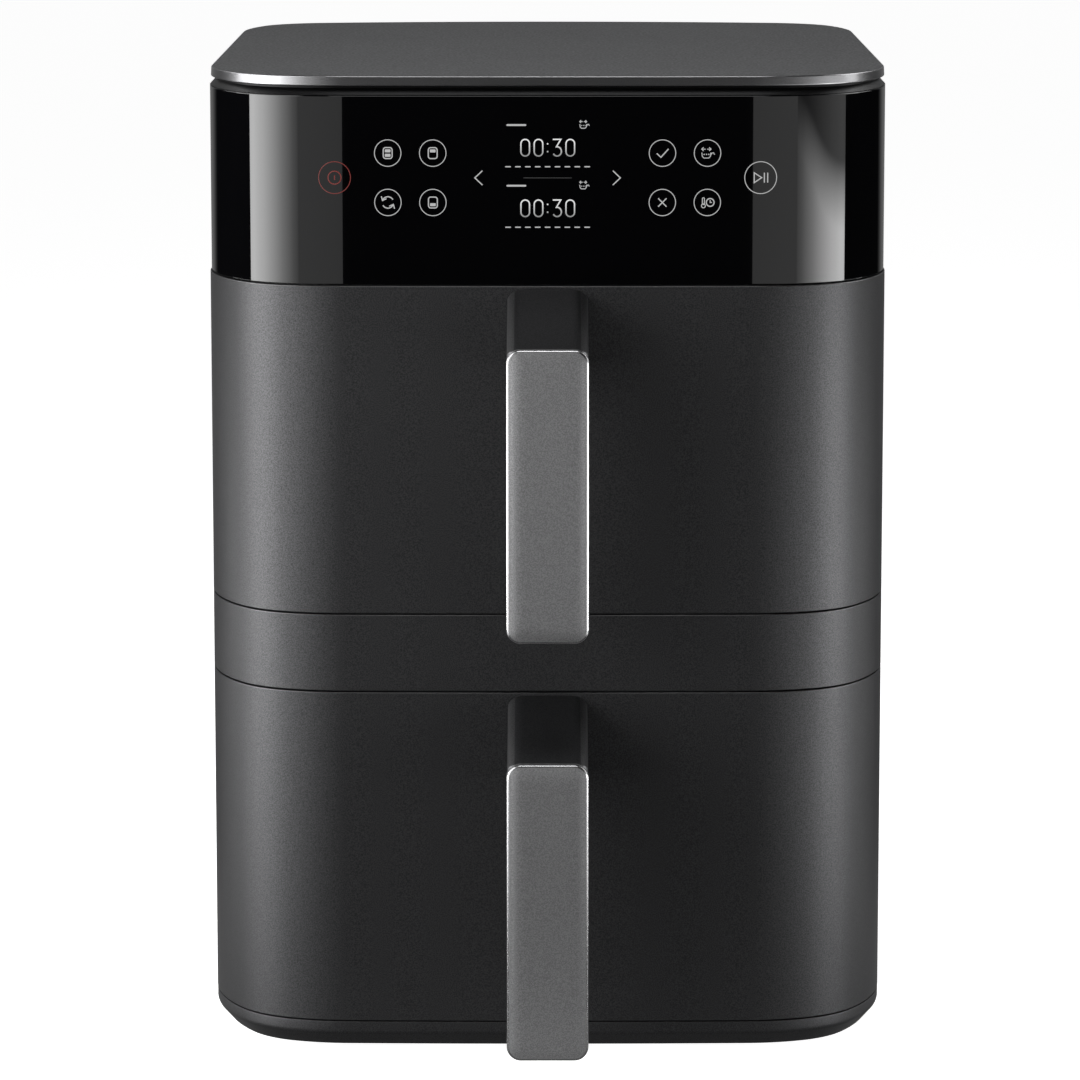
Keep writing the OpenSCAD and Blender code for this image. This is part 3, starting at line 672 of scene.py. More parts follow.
def build_finishes():
    """Every slot's material, by slot name, with the edge finishes (the lighter charcoal and arm edges are
    painted highlights) and the panel's lit inks.
    """
    look = bpy.context.scene.fryer_finishes
    charcoal, grip, lid = tuple(look.charcoal), tuple(look.grip), tuple(look.lid)
    return {
        "charcoal_paint": satin_metal("Charcoal Satin Paint", charcoal, 0.95, 0.48),
        "side_paint": satin_metal("Side Panel Paint", scaled(charcoal, 0.9), 0.95, 0.50),
        # A lighter, smoother copy of the charcoal paint for the shells' rounded edges: the lighter colour is
        # a painted highlight along them
        "charcoal_edge_highlight": satin_metal(
            "Charcoal Edge Painted Highlight", scaled(charcoal, 1.6), 0.95, 0.35, contrast=0.2
        ),
        "lid_metal": satin_metal(
            "Lid Metallic Paint", lid, 0.5, 0.42, grain=1000.0, contrast=0.7, relief=5e-6
        ),
        "lid_rim": satin_metal(
            "Lid Polished Rim", scaled(lid, 2.6), 1.0, 0.28, contrast=0.05, relief=1e-6
        ),
        "neck": satin_metal(
            "Neck Satin Paint", (0.016, 0.016, 0.0165), 1.0, 0.40, contrast=0.1, relief=2e-6
        ),
        "grip_metal": satin_metal("Grip Satin Metal", grip, 0.9, 0.42, contrast=0.2),
        "grip_edge": satin_metal("Grip Polished Edge", grip, 1.0, 0.24, contrast=0.02, relief=1e-7),
        "gloss_black": gloss_plastic("Gloss Black Panel", (0.001, 0.001, 0.0012)),
        "arm_plastic": satin_metal("Arm Satin Paint", (0.046, 0.046, 0.048), 0.97, 0.45),
        # A lighter copy of the arm's paint for its rounded sides: a painted highlight there
        "arm_edge_highlight": satin_metal("Arm Edge Painted Highlight", (0.085, 0.085, 0.087), 0.97, 0.42),
        "dark_plastic": moulded_plastic("Dark Moulded Plastic", (0.020, 0.020, 0.021), 0.50),
        "rubber": moulded_plastic("Foot Rubber", grey(0.012), 0.75, relief=3e-5),
        "silicone": moulded_plastic("Bumper Silicone", grey(0.018), 0.6),
        "sheet_steel": rolled_metal("Rolled Sheet Steel", (0.52, 0.52, 0.51), 0.34),
        "pan_coating": coated_pan("Non-stick Coating", (0.020, 0.020, 0.021)),
        "heater_steel": rolled_metal("Heater Tube", (0.16, 0.14, 0.12), 0.45, lines=400.0),
        "fan_aluminium": rolled_metal("Fan Aluminium", grey(0.62), 0.30, lines=500.0),
        "shaft_steel": rolled_metal("Ground Shaft Steel", grey(0.55), 0.22, lines=1500.0),
        "motor_steel": rolled_metal("Motor Housing", (0.40, 0.40, 0.39), 0.38),
        "fan_plastic": moulded_plastic("Cooling Fan Plastic", grey(0.020), 0.45),
        "sensor_steel": rolled_metal("Sensor Steel", grey(0.50), 0.28),
        "circuit_board": circuit_board("Circuit Board"),
        "component_black": moulded_plastic("Component Plastic", grey(0.018), 0.4),
        "wire": moulded_plastic("Loom Sleeve", grey(0.016), 0.55, pebbles=900.0),
        "fastener_steel": rolled_metal("Fastener Steel", (0.50, 0.50, 0.49), 0.26, lines=700.0),
        "icon_light": lit_ink("Icon Light", tuple(look.icon)),
        "power_light": lit_ink("Power Light", tuple(look.power)),
        "divider_light": lit_ink("Divider Light", scaled(tuple(look.icon), 0.1)),
        "digit_light": lit_ink("Digit Light", grey(0.75), fade=0.30),
    }


FINISHES = {}


def finish_for(slot):
    """The slot's material; all of them are made the first time one is asked for."""
    if not FINISHES:
        FINISHES.update(build_finishes())
    return FINISHES[slot]


# ---- The panel's lit inks ----


class Ink:
    """Thin solid strokes and fills on the panel, in metres across (u) and up (v) from its middle row."""

    PROUD = 0.05 * MM
    SUNK = 0.12 * MM

    def __init__(self, outline, inset):
        self.outline, self.inset = outline, inset
        self.verts, self.faces = [], []

    def _pair(self, u, v):
        """A front and a back vertex, on the panel's bowed surface."""
        y = self.outline.front_at(u, self.inset)
        self.verts += [(u, y - self.PROUD, PANEL_ROW + v), (u, y + self.SUNK, PANEL_ROW + v)]
        return len(self.verts) - 2

    def strip(self, left, right, closed=False):
        """A band between two lines of the same number of points."""
        lefts = [self._pair(*p) for p in left]
        rights = [self._pair(*p) for p in right]
        count = len(lefts)
        for i in range(count if closed else count - 1):
            j = (i + 1) % count
            a, b, c, d = lefts[i], lefts[j], rights[j], rights[i]
            self.faces += [(a, b, c, d), (d + 1, c + 1, b + 1, a + 1)]
            self.faces += [(b, a, a + 1, b + 1), (d, c, c + 1, d + 1)]
        if not closed:
            for k in (0, -1):
                self.faces.append((lefts[k], rights[k], rights[k] + 1, lefts[k] + 1))

    def stroke(self, points, width, closed=False):
        """A line of even width with mitred corners."""
        count = len(points)
        left, right = [], []
        for i, (u, v) in enumerate(points):
            here = Vector((u, v))
            before = Vector(points[i - 1]) if closed or i > 0 else None
            after = Vector(points[(i + 1) % count]) if closed or i < count - 1 else None
            into = (here - before).normalized() if before is not None else (after - here).normalized()
            out = (after - here).normalized() if after is not None else into
            across = Vector((-(into + out).y, (into + out).x)).normalized()
            reach = width / 2 / max(across.dot(Vector((-out.y, out.x))), 0.5)
            left.append(tuple(here + across * reach))
            right.append(tuple(here - across * reach))
        self.strip(left, right, closed)

    def ring(self, u, v, radius, width, start=0.0, sweep=360.0):
        """A circle, or an arc of it."""
        closed = sweep >= 360.0
        count = max(int(RING_STEPS * sweep / 360), 6)
        angles = [math.radians(start + sweep * i / count) for i in range(count + (not closed))]
        line = lambda r: [(u + r * math.cos(a), v + r * math.sin(a)) for a in angles]
        self.strip(line(radius + width / 2), line(radius - width / 2), closed)

    def fill(self, u, v, width, height, radius=0.25 * MM):
        """A filled bar with round corners, as a strip from side to side."""
        corner = min(radius, height / 2.01, width / 2.01)
        loop = placed(u, v, rounded_loop(width, -height / 2, height / 2, corner, steps=3), 1.0)
        half = len(loop) // 2
        self.strip(loop[half:][::-1], loop[:half])

    def frame(self, u, v, width, height, radius, line):
        """An outlined box with round corners."""
        edge, bottom, top = line / 2, v - height / 2, v + height / 2
        outer = rounded_loop(width + line, bottom - edge, top + edge, radius + edge, 5)
        inner = rounded_loop(width - line, bottom + edge, top - edge, radius - edge, 5)
        self.strip([(u + x, y) for x, y in outer], [(u + x, y) for x, y in inner], closed=True)

    def piece(self, name, slot):
        piece = make_object(name, self.verts, self.faces, finish_for(slot))
        install(piece, "housing", "gloss_black")


def placed(u, v, points, unit=MM):
    """Points in units of a millimetre, or another one, moved to (u, v)."""
    return [(u + x * unit, v + y * unit) for x, y in points]


def draw_zone_box(ink, u, v, upper, lower):
    """A small double-stack fryer, with the drawers that are in use filled."""
    ink.frame(u, v, 3.4 * MM, 4.2 * MM, 0.9 * MM, FINE)
    for used, side in ((upper, 1), (lower, -1)):
        if used:
            ink.fill(u, v + side * 0.85 * MM, 2.2 * MM, 1.15 * MM)


def draw_cycle_arrows(ink, u, v):
    """Two arrows that chase each other round, for running both drawers together."""
    radius, sweep, head = 2.2 * MM, 125.0, 1.1 * MM
    for start in (30.0, 210.0):
        ink.ring(u, v, radius, FINE, start, sweep)
        tip = math.radians(start + sweep)
        aside = Vector((math.cos(tip), math.sin(tip)))
        ahead = Vector((-math.sin(tip), math.cos(tip)))
        at = Vector((u + radius * math.cos(tip), v + radius * math.sin(tip)))
        points = (at - ahead * head + aside * head, at + ahead * 0.2 * MM, at - ahead * head - aside * head)
        ink.stroke([tuple(point) for point in points], FINE)


def draw_tick(ink, u, v):
    ink.stroke(placed(u, v, ((-2.2, -0.1), (-0.6, -1.6), (2.3, 1.6))), FINE)


def draw_cross(ink, u, v):
    for rise in (1.6, -1.6):
        ink.stroke(placed(u, v, ((-1.6, -rise), (1.6, rise))), FINE)


def draw_pan(ink, u, v, size=1.0):
    """A pan with a handle, and two arrows over it that say shake."""
    unit = size * MM
    bowl = ((-2.2, 0.2), (-2.0, -1.3), (-1.4, -1.9), (0.5, -1.9), (1.1, -1.3), (1.3, 0.2))
    handle = ((1.2, -0.9), (1.7, 0.0), (2.3, 0.1), (2.7, -0.6))
    for points in (bowl, handle):
        ink.stroke(placed(u, v, points, unit), HAIR)
    for shift in (-1.3, -0.4, 0.5):
        ink.fill(u + shift * unit, v - 0.5 * unit, 0.5 * unit, 0.5 * unit)
    for side in (-1, 1):
        for points in (((1.1, 2.2), (1.8, 1.5), (1.1, 0.8)), ((0.3, 1.5), (1.5, 1.5))):
            arrow = [(side * reach, rise) for reach, rise in points]
            ink.stroke(placed(u - 0.45 * unit, v, arrow, unit), HAIR)


def draw_timer(ink, u, v):
    """A thermometer beside a clock."""
    thin, stem = FINE * 0.8, u - 1.5 * MM
    ink.frame(stem, v + 0.5 * MM, 0.8 * MM, 2.6 * MM, 0.39 * MM, thin)
    ink.ring(stem, v - 1.3 * MM, 0.75 * MM, thin)
    ink.ring(u + 1.1 * MM, v, 1.5 * MM, FINE)
    ink.stroke(placed(u, v, ((1.1, 0.9), (1.1, 0.0), (1.8, 0.0))), thin)


def draw_play_pause(ink, u, v):
    ink.stroke(placed(u, v, ((-2.5, -1.9), (-2.5, 1.9), (0.4, 0.0))), FINE, closed=True)
    for shift in (1.4, 2.7):
        ink.stroke(placed(u, v, ((shift, -1.9), (shift, 1.9))), FINE)


def draw_digit(ink, digit, u, v):
    """A thin numeral: a round-ended 0, or a flat-topped 3."""
    width, height, line = DIGIT_SIZE
    if digit == "0":
        ink.frame(u, v, width - line, height - line, (width - line) / 2.01, line)
        return
    half, top = (width - line) / 2, (height - line) / 2
    bowl = top * 0.56
    turns = [math.radians(100.0 - 250.0 * i / 16) for i in range(17)]
    curve = [(u + half * math.cos(turn), v - top + bowl + bowl * math.sin(turn)) for turn in turns]
    ink.stroke([(u - half, v + top), (u + half * 0.85, v + top), *curve], line)


def draw_clock(ink, v):
    """The time left, 00:30, on one line of the display."""
    for digit, u in (("0", -8.6), ("0", -3.5), ("3", 3.65), ("0", 8.7)):
        draw_digit(ink, digit, u * MM, v)
    for shift in (-1.5, 1.5):
        ink.fill(0.0, v + shift * MM, 0.6 * MM, 0.6 * MM, 0.28 * MM)


# ---- The studio ----


def area_light(name, width, depth, level=1.0):
    """A rectangular light of that brightness, which the camera doesn't see."""
    data = bpy.data.lights.new(name, "AREA")
    data.shape = "RECTANGLE"
    data.size, data.size_y = width, depth
    data.energy = math.pi * width * depth * level
    light = add_object(name, data)
    light.visible_camera = False
    return light


def level_curve(tree, share, stops):
    """A level that follows (share, level) stops in straight lines."""
    ramp = add_node(tree, "ShaderNodeFloatCurve", Value=share)
    curve = ramp.mapping.curves[0]
    brightest = max(level for _, level in stops)
    for point, (at, level) in zip(curve.points, (stops[0], stops[-1])):
        point.location = (at, level / brightest)
    for at, level in stops[1:-1]:
        curve.points.new(at, level / brightest)
    for point in curve.points:
        point.handle_type = "VECTOR"
    ramp.mapping.update()
    return add_output(
        tree, "ShaderNodeMath", "Value", ramp.outputs["Value"], brightest, operation="MULTIPLY"
    )


def even(level):
    return ((0.0, level), (1.0, level))


def backwards(stops):
    return tuple((1.0 - share, level) for share, level in reversed(stops))


def soft_box(name, start, end, low, high, stops, rises=even(1.0)):
    """An upright diffuser between two plan points, lit by stops along it and up it."""
    start, end = Vector((*start, 0.0)), Vector((*end, 0.0))
    light = area_light(name, (end - start).length, high - low)
    light.data.use_nodes = True
    tree = light.data.node_tree
    where = add_output(tree, "ShaderNodeNewGeometry", "Parametric")
    along_it = level_curve(tree, axis_of(tree, where, "X"), stops)
    up_it = level_curve(tree, axis_of(tree, where, "Y"), rises)
    level = add_output(tree, "ShaderNodeMath", "Value", along_it, up_it, operation="MULTIPLY")
    feed(tree, tree.nodes["Emission"], {"Strength": level})
    along, up = (end - start).normalized(), Vector((0.0, 0.0, 1.0))
    light.matrix_world = Matrix((along, up, along.cross(up))).transposed().to_4x4()
    light.location = (start + end) / 2 + up * (low + high) / 2


# ---- Operators ----


class FryerOperator:
    """What the operators share."""

    bl_options = {"REGISTER"}

    def execute(self, context):
        sizes = context.scene.fryer_shells
        self.build(Outline(sizes), sizes)
        return {"FINISHED"}


class FRYER_OT_stage(FryerOperator, bpy.types.Operator):
    """Build the floor, the studio lights and the camera"""

    bl_idname = "fryer.stage"
    bl_label = "Stage"

    def build(self, outline, sizes):
        self.make_camera()
        self.make_floor()
        self.make_world()
        self.make_lights()

    def make_camera(self):
        data = bpy.data.cameras.new("Camera")
        data.sensor_width = SENSOR_WIDTH
        data.lens = SENSOR_WIDTH * LENS_PIXELS / PICTURE_PIXELS
        data.shift_x = -SHIFT_PIXELS / PICTURE_PIXELS
        data.clip_end = 60.0
        camera = add_object("Camera", data)
        back = Vector((0.0, -math.cos(CAMERA_TILT), math.sin(CAMERA_TILT)))
        camera.location = Vector((0.0, FRONT, AIM_HEIGHT)) + CAMERA_DISTANCE * back
        camera.rotation_euler = (math.pi / 2 - CAMERA_TILT, 0.0, 0.0)
        bpy.context.scene.camera = camera
        bpy.context.scene.view_settings.view_transform = "Standard"

    def make_floor(self):
        """A pale floor that the camera sees as near white, with the object's soft shadow on it."""
        finish = Finish("Pale Floor", Roughness=0.9, Specular_IOR_Level=0.1, Emission_Color=WHITE)
        tree = finish.tree
        place = coordinates(tree)
        apart = add_output(
            tree, "ShaderNodeMath", "Value", axis_of(tree, place, "X"), operation="ABSOLUTE"
        )
        depth = axis_of(tree, place, "Y")
        bearing = add_output(tree, "ShaderNodeVectorMath", "Vector", place, operation="NORMALIZE")
        distance = add_output(tree, "ShaderNodeVectorMath", "Value", place, operation="LENGTH")
        level = smooth_step(tree, apart, *GLOW_BESIDE)
        for operation, measure, glow in (
            ("MULTIPLY", apart, GLOW_WITHIN),
            ("MULTIPLY", depth, GLOW_ALONGSIDE),
            ("MULTIPLY", depth, GLOW_FORWARD),
            ("ADD", axis_of(tree, bearing, "Y"), GLOW_BEHIND),
            ("ADD", distance, GLOW_NEAR),
        ):
            step = smooth_step(tree, measure, *glow)
            level = add_output(tree, "ShaderNodeMath", "Value", level, step, operation=operation)
        seen = add_output(tree, "ShaderNodeLightPath", "Is Camera Ray")
        low, high = FLOOR_SHADES
        finish.set(
            Emission_Strength=add_output(
                tree, "ShaderNodeMix", "Result", data_type="FLOAT", Factor=seen, A=level, B=FLOOR_SEEN_GLOW
            ),
            Base_Color=add_output(
                tree, "ShaderNodeMapRange", "Result", Value=seen, To_Min=low, To_Max=high
            ),
        )
        loop = rounded_loop(2 * FLOOR_REACH, -FLOOR_REACH, FLOOR_REACH, FLOOR_REACH * 0.99, 24)
        mesh = bpy.data.meshes.new("floor")
        mesh.from_pydata([(x, y, 0.0) for x, y in loop], [], [tuple(range(len(loop)))])
        mesh.materials.append(finish.material)
        floor = add_object("floor", mesh)

    def make_world(self):
        """White behind the floor; in what the surfaces reflect, a dark room with a pale far wall."""
        world = bpy.data.worlds.new("Studio")
        world.use_nodes = True
        bpy.context.scene.world = world
        tree = world.node_tree
        tree.nodes.clear()
        depth = axis_of(tree, coordinates(tree, "Generated"), "Y")
        wall, kind = smooth_step(tree, depth, *FAR_WALL), "ShaderNodeBackground"
        room = add_output(tree, kind, "Background", Color=(0.96, 0.98, 1.0, 1.0), Strength=wall)
        white = add_output(tree, kind, "Background", Color=WHITE, Strength=1.0)
        seen = add_output(tree, "ShaderNodeLightPath", "Is Camera Ray")
        mix = add_output(tree, "ShaderNodeMixShader", "Shader", seen, room, white)
        add_node(tree, "ShaderNodeOutputWorld", Surface=mix)

    def make_lights(self):
        """Low diffusers and boards on both sides, boxes above and behind them, two over the front."""
        left = lambda y: (-SIDE, y)
        right = lambda y: (SIDE, y)
        end_x, end_y = BOARD_END
        for box in (
            ("left_diffuser", left(SIDE_REAR), left(SIDE_BEND), 0.0, LOW_TOP, DIFFUSER, LEFT_RISE),
            ("right_diffuser", right(SIDE_BEND), right(SIDE_REAR), 0.0, LOW_TOP, backwards(DIFFUSER),
             RIGHT_RISE),
            ("left_board", left(SIDE_BEND), (-end_x, end_y), BOARD_LOW, BOARD_HIGH, BOARD),
            ("right_board", (end_x, end_y), right(SIDE_BEND), BOARD_LOW, BOARD_HIGH, backwards(BOARD)),
            ("left_rear", left(0.3), left(SIDE_REAR), LEDGE, LOW_TOP, even(5.0)),
            ("left_front", left(-0.8), left(SIDE_BEND), LEDGE, LOW_TOP, even(10.0)),
            ("right_rear", right(SIDE_REAR), right(0.3), LEDGE, LOW_TOP, even(3.0)),
            ("left_foot", left(0.5), left(SIDE_REAR), 0.0, FOOT_HIGH, even(7.0)),
            ("right_foot", right(SIDE_REAR), right(0.5), 0.0, FOOT_HIGH, even(4.5)),
            ("left_key", left(0.8), left(SIDE_BEND), LOW_TOP, HIGH_TOP, HIGH_LEFT),
            ("right_fill", right(0.0), right(0.8), LOW_TOP, HIGH_TOP, even(4.0)),
        ):
            soft_box(*box)
        for name, centre, width, depth, tilt, level in (
            ("overhead_box", (0.0, -0.36, 0.86), 0.36, 0.24, 0.0, 5.5),
            ("front_box", (0.0, -1.45, 1.15), 0.9, 0.4, 55.0, 0.6),
        ):
            light = area_light(name, width, depth, level)
            light.location = centre
            light.rotation_euler = (math.radians(tilt), 0.0, 0.0)


class FRYER_OT_outer_shells(FryerOperator, bpy.types.Operator):
    """Build the lid, the neck, the band, the side shells, the rear cover and the base"""

    bl_idname = "fryer.outer_shells"
    bl_label = "Outer Shells"

    def build(self, outline, sizes):
        self.make_lid(outline)
        self.make_neck(outline)
        self.make_band(outline, sizes)
        self.make_sides(sizes)
        self.make_rear(outline, sizes)
        self.make_base(outline, sizes)

    def ring_stack(self, name, outline, profile, material):
        """A closed form whose plan is the outline, from (inset, level) steps."""
        rows = [[(x, y, z) for x, y in outline.loop(inset)] for inset, z in profile]
        return make_object(name, *loft(rows), material)

    def make_lid(self, outline):
        """The lid plate: grained on top, polished round its rim."""
        low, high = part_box("top_cover")
        inset = HALF_WIDTH - high.x
        profile = [(inset, low.z), (inset + 0.2 * MM, high.z)]
        piece = self.ring_stack("lid", outline, profile, finish_for("lid_metal"))
        round_edges(piece, 0.5 * MM, 4, edge=finish_for("lid_rim"))
        for face in piece.data.polygons:
            face.material_index = int(abs(face.normal.z) < LID_RIM_BELOW)
        install(piece, "housing", "lid_metal", "top_cover")

    def make_neck(self, outline):
        """The ring under the lid, whose sloped shoulder covers the tops of the shells."""
        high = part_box("top_neck")[1]
        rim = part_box("control_panel")[1].z
        outer, inner, slope = HALF_WIDTH - high.x, 3.3 * MM, 0.1 * MM
        profile = [
            (inner, rim - 1 * MM), (outer + slope, rim + 0.05 * MM), (outer, rim + 0.3 * MM),
            (inner - slope, rim + 2.8 * MM), (inner, high.z),
        ]
        piece = self.ring_stack("neck_ring", outline, profile, finish_for("neck"))
        install(piece, "housing", "gloss_black", "top_neck")

    def make_band(self, outline, sizes):
        charcoal_shell("middle_band", "housing", "front_band", outline, sizes)

    def make_sides(self, sizes):
        for side, sign in (("left", -1), ("right", 1)):
            low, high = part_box(f"side_shell_{side}")
            edges = [(low.y, low.z), (high.y, low.z), (high.y, high.z), (low.y, high.z)]
            outer = [(sign * HALF_WIDTH, y, z) for y, z in edges]
            inner = [(sign * (HALF_WIDTH - sizes.skin), y, z) for y, z in edges]
            piece = make_object(f"side_panel_{side}", *loft([outer, inner]), finish_for("side_paint"))
            round_edges(piece, sizes.edge)
            install(piece, "housing", "side_paint", f"side_shell_{side}")

    def make_rear(self, outline, sizes):
        low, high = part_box("rear_cover")
        piece = wrap_skin(
            "back_cover", outline, 0.0, sizes.skin, sizes.rear_wrap, low.z, high.z,
            finish_for("dark_plastic"), rear=True,
        )
        cut_out(piece, self.rear_openings())
        round_edges(piece, sizes.edge)
        install(piece, "housing", "dark_plastic", "rear_cover")

    def rear_openings(self):
        """Cutters for the round-ended vent slots, the screw recesses and the gland's opening."""
        cutters = []
        for zone in ZONES:
            low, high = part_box(f"{zone}_chamber_liner")
            middle = (low.z + high.z) / 2
            slot = rounded_loop(
                VENT_WIDTH, middle - VENT_HALF_LENGTH, middle + VENT_HALF_LENGTH, VENT_WIDTH / 2, 6
            )
            for i in range(VENT_SLOTS):
                across = (i - (VENT_SLOTS - 1) / 2) * VENT_PITCH
                cutters.append([(across + x, z) for x, z in slot])
        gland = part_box("cord_gland")
        middle = (gland[0] + gland[1]) / 2
        cutters.append(disc(middle.x, middle.z, GLAND_OPENING))
        for x, z in COVER_SCREWS:
            cutters += [disc(-x, z, SCREW_RECESS), disc(x, z, SCREW_RECESS)]
        depths = (BACK - 12 * MM, BACK + 5 * MM)
        return [[[(x, y, z) for x, z in loop] for y in depths] for loop in cutters]

    def make_base(self, outline, sizes):
        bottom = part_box("feet")[1].z
        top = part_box("lower_drawer_front")[0].z - sizes.gap
        inset, wall = 0.1 * MM, 9 * MM
        profile = filleted([
            (wall, bottom, 0), (inset + 4.9 * MM, bottom, 0.8 * MM), (inset, bottom + 5.5 * MM, 3.0 * MM),
            (inset, top, 0.3 * MM), (wall, top, 0),
        ])
        piece = self.ring_stack("base_tray_shell", outline, profile, finish_for("charcoal_paint"))
        install(piece, "housing", "dark_plastic", "base_tray")


class FRYER_OT_touch_panel(FryerOperator, bpy.types.Operator):
    """Build the gloss panel with its lit keys and display"""

    bl_idname = "fryer.touch_panel"
    bl_label = "Touch Panel"

    def build(self, outline, sizes):
        low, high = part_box("control_panel")
        piece = wrap_skin(
            "gloss_panel", outline, sizes.panel_inset, sizes.skin, sizes.wrap,
            low.z - SEAM_GROWTH, high.z, finish_for("gloss_black"),
        )
        round_edges(piece, 0.35 * MM)
        install(piece, "housing", "gloss_black", "control_panel")
        self.make_keys(outline, sizes)
        self.make_display(outline, sizes)

    def make_keys(self, outline, sizes):
        keys = Ink(outline, sizes.panel_inset)
        inner, outer = KEY_COLUMNS
        for u in (-outer, -inner, inner, outer):
            for v in (-KEY_ROW, KEY_ROW):
                keys.ring(u, v, KEY_RADIUS, HAIR)
        draw_zone_box(keys, -outer, KEY_ROW, True, True)
        draw_zone_box(keys, -inner, KEY_ROW, True, False)
        draw_zone_box(keys, -inner, -KEY_ROW, False, True)
        draw_cycle_arrows(keys, -outer, -KEY_ROW)
        draw_tick(keys, inner, KEY_ROW)
        draw_pan(keys, outer, KEY_ROW)
        draw_cross(keys, inner, -KEY_ROW)
        draw_timer(keys, outer, -KEY_ROW)
        keys.ring(END_KEY, 0.0, END_KEY_RADIUS, HAIR)
        draw_play_pause(keys, END_KEY, 0.0)
        for side in (-1, 1):
            arrow = ((-1.45 * side, -2.75), (1.45 * side, 0.0), (-1.45 * side, 2.75))
            keys.stroke(placed(side * ARROW_COLUMN, 0.0, arrow), FINE)
        keys.piece("key_lights", "icon_light")
        power = Ink(outline, sizes.panel_inset)
        power.ring(-END_KEY, 0.0, END_KEY_RADIUS, HAIR)
        power.ring(-END_KEY, 0.0, 2.5 * MM, FINE)
        power.stroke(placed(-END_KEY, 0.0, ((0.0, -0.9), (0.0, 0.9))), FINE)
        power.piece("power_light", "power_light")

    def make_display(self, outline, sizes):
        """Each drawer's block: a mode bar, a pan, the time left and a row of progress dots."""
        for zone, middle in DISPLAY_ROWS.items():
            marks = Ink(outline, sizes.panel_inset)
            marks.fill(-12.0 * MM, middle + 8.7 * MM, 7.6 * MM, 0.7 * MM, 0.34 * MM)
            draw_pan(marks, 14.0 * MM, middle + 8.9 * MM, 0.75)
            for i in range(9):
                marks.fill((i - 4) * 3.8 * MM, middle - 7.3 * MM, 2.2 * MM, 0.45 * MM, 0.22 * MM)
            marks.piece(f"{zone}_display_marks", "icon_light")
            clock = Ink(outline, sizes.panel_inset)
            draw_clock(clock, middle)
            clock.piece(f"{zone}_clock", "digit_light")
        divider = Ink(outline, sizes.panel_inset)
        divider.fill(0.0, 0.0, 18.6 * MM, 0.2 * MM, 0.09 * MM)
        divider.piece("display_divider", "divider_light")


class FRYER_OT_drawer_fronts(FryerOperator, bpy.types.Operator):
    """Build the two drawer fronts"""

    bl_idname = "fryer.drawer_fronts"
    bl_label = "Drawer Fronts"

    def build(self, outline, sizes):
        for zone in ZONES:
            charcoal_shell(
                f"{zone}_front_shell", f"{zone}_drawer", f"{zone}_drawer_front", outline, sizes
            )


class FRYER_OT_handles(FryerOperator, bpy.types.Operator):
    """Build the handles: a rounded arm and a satin grip plate on each drawer"""

    bl_idname = "fryer.handles"
    bl_label = "Handles"

    def build(self, outline, sizes):
        handle = bpy.context.scene.fryer_handles
        for zone in ZONES:
            self.make_arm(zone, handle)
            self.make_grip(zone, handle)

    def make_arm(self, zone, handle):
        low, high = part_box(f"{zone}_handle_arm")
        grip_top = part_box(f"{zone}_handle_grip")[1].z
        leg_back = low.y + 9 * MM
        rooted = FRONT + 1.2 * MM
        root_low = high.z - 30 * MM
        elbow = root_low - 8.7 * MM
        root_top = high.z + handle.arm_rise
        corners = [
            (rooted, root_top, 0), (low.y, grip_top - 0.3 * MM, 0.8 * MM),
            (low.y, low.z, 0.8 * MM), (leg_back, low.z, 3 * MM), (leg_back, elbow, 9 * MM),
            (rooted, root_low, 0),
        ]
        depth, width = handle.arm_radius, handle.arm_radius * 1.5
        ends = [(width * across, depth * inset) for across, inset in quarter_arc(8)]
        sections = [(low.x + along, inset) for along, inset in ends]
        sections += [(high.x - along, inset) for along, inset in reversed(ends)]
        rows = [
            [(x, y, z) for y, z in filleted(inset_corners(corners, inset, fixed=len(corners) - 1))]
            for x, inset in sections
        ]
        piece = make_object(f"{zone}_arm", *loft(rows), finish_for("arm_plastic"), sharp=50.0)
        # The arm's rounded sides take the lighter arm paint: a painted highlight on them
        low, high = ARM_HIGHLIGHT_NORMALS
        finish_faces(piece, "arm_edge_highlight", lambda normal: low < abs(normal.x) < high)
        install(piece, f"{zone}_drawer", "arm_plastic", f"{zone}_handle_arm")

    def make_grip(self, zone, handle):
        low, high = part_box(f"{zone}_handle_grip")
        width, front = high.x - low.x, low.y
        edge, crown, back_edge = handle.grip_edge, 0.64 * MM, 0.5 * MM
        steps = [(back_edge, high.y), (0.0, high.y - back_edge)]
        steps += [(edge * inset, front + crown + edge * depth) for inset, depth in quarter_arc(6)]
        reach, count = 9 * MM, 8
        for i in range(1, count + 1):
            left = 1 - i / count
            steps.append((edge + (reach - edge) * i / count, front + crown * left ** 3))
        rows = []
        for inset, y in steps:
            loop = rounded_loop(
                width - 2 * inset, low.z + inset, high.z - inset, handle.grip_corner - inset, 10
            )
            rows.append([(x, y, z) for x, z in loop])
        piece = make_object(f"{zone}_grip", *loft(rows), finish_for("grip_metal"), sharp=50.0)
        low, high = GRIP_EDGE_NORMALS
        finish_faces(piece, "grip_edge", lambda normal: low < normal.y < high)
        install(piece, f"{zone}_drawer", "grip_metal", f"{zone}_handle_grip")


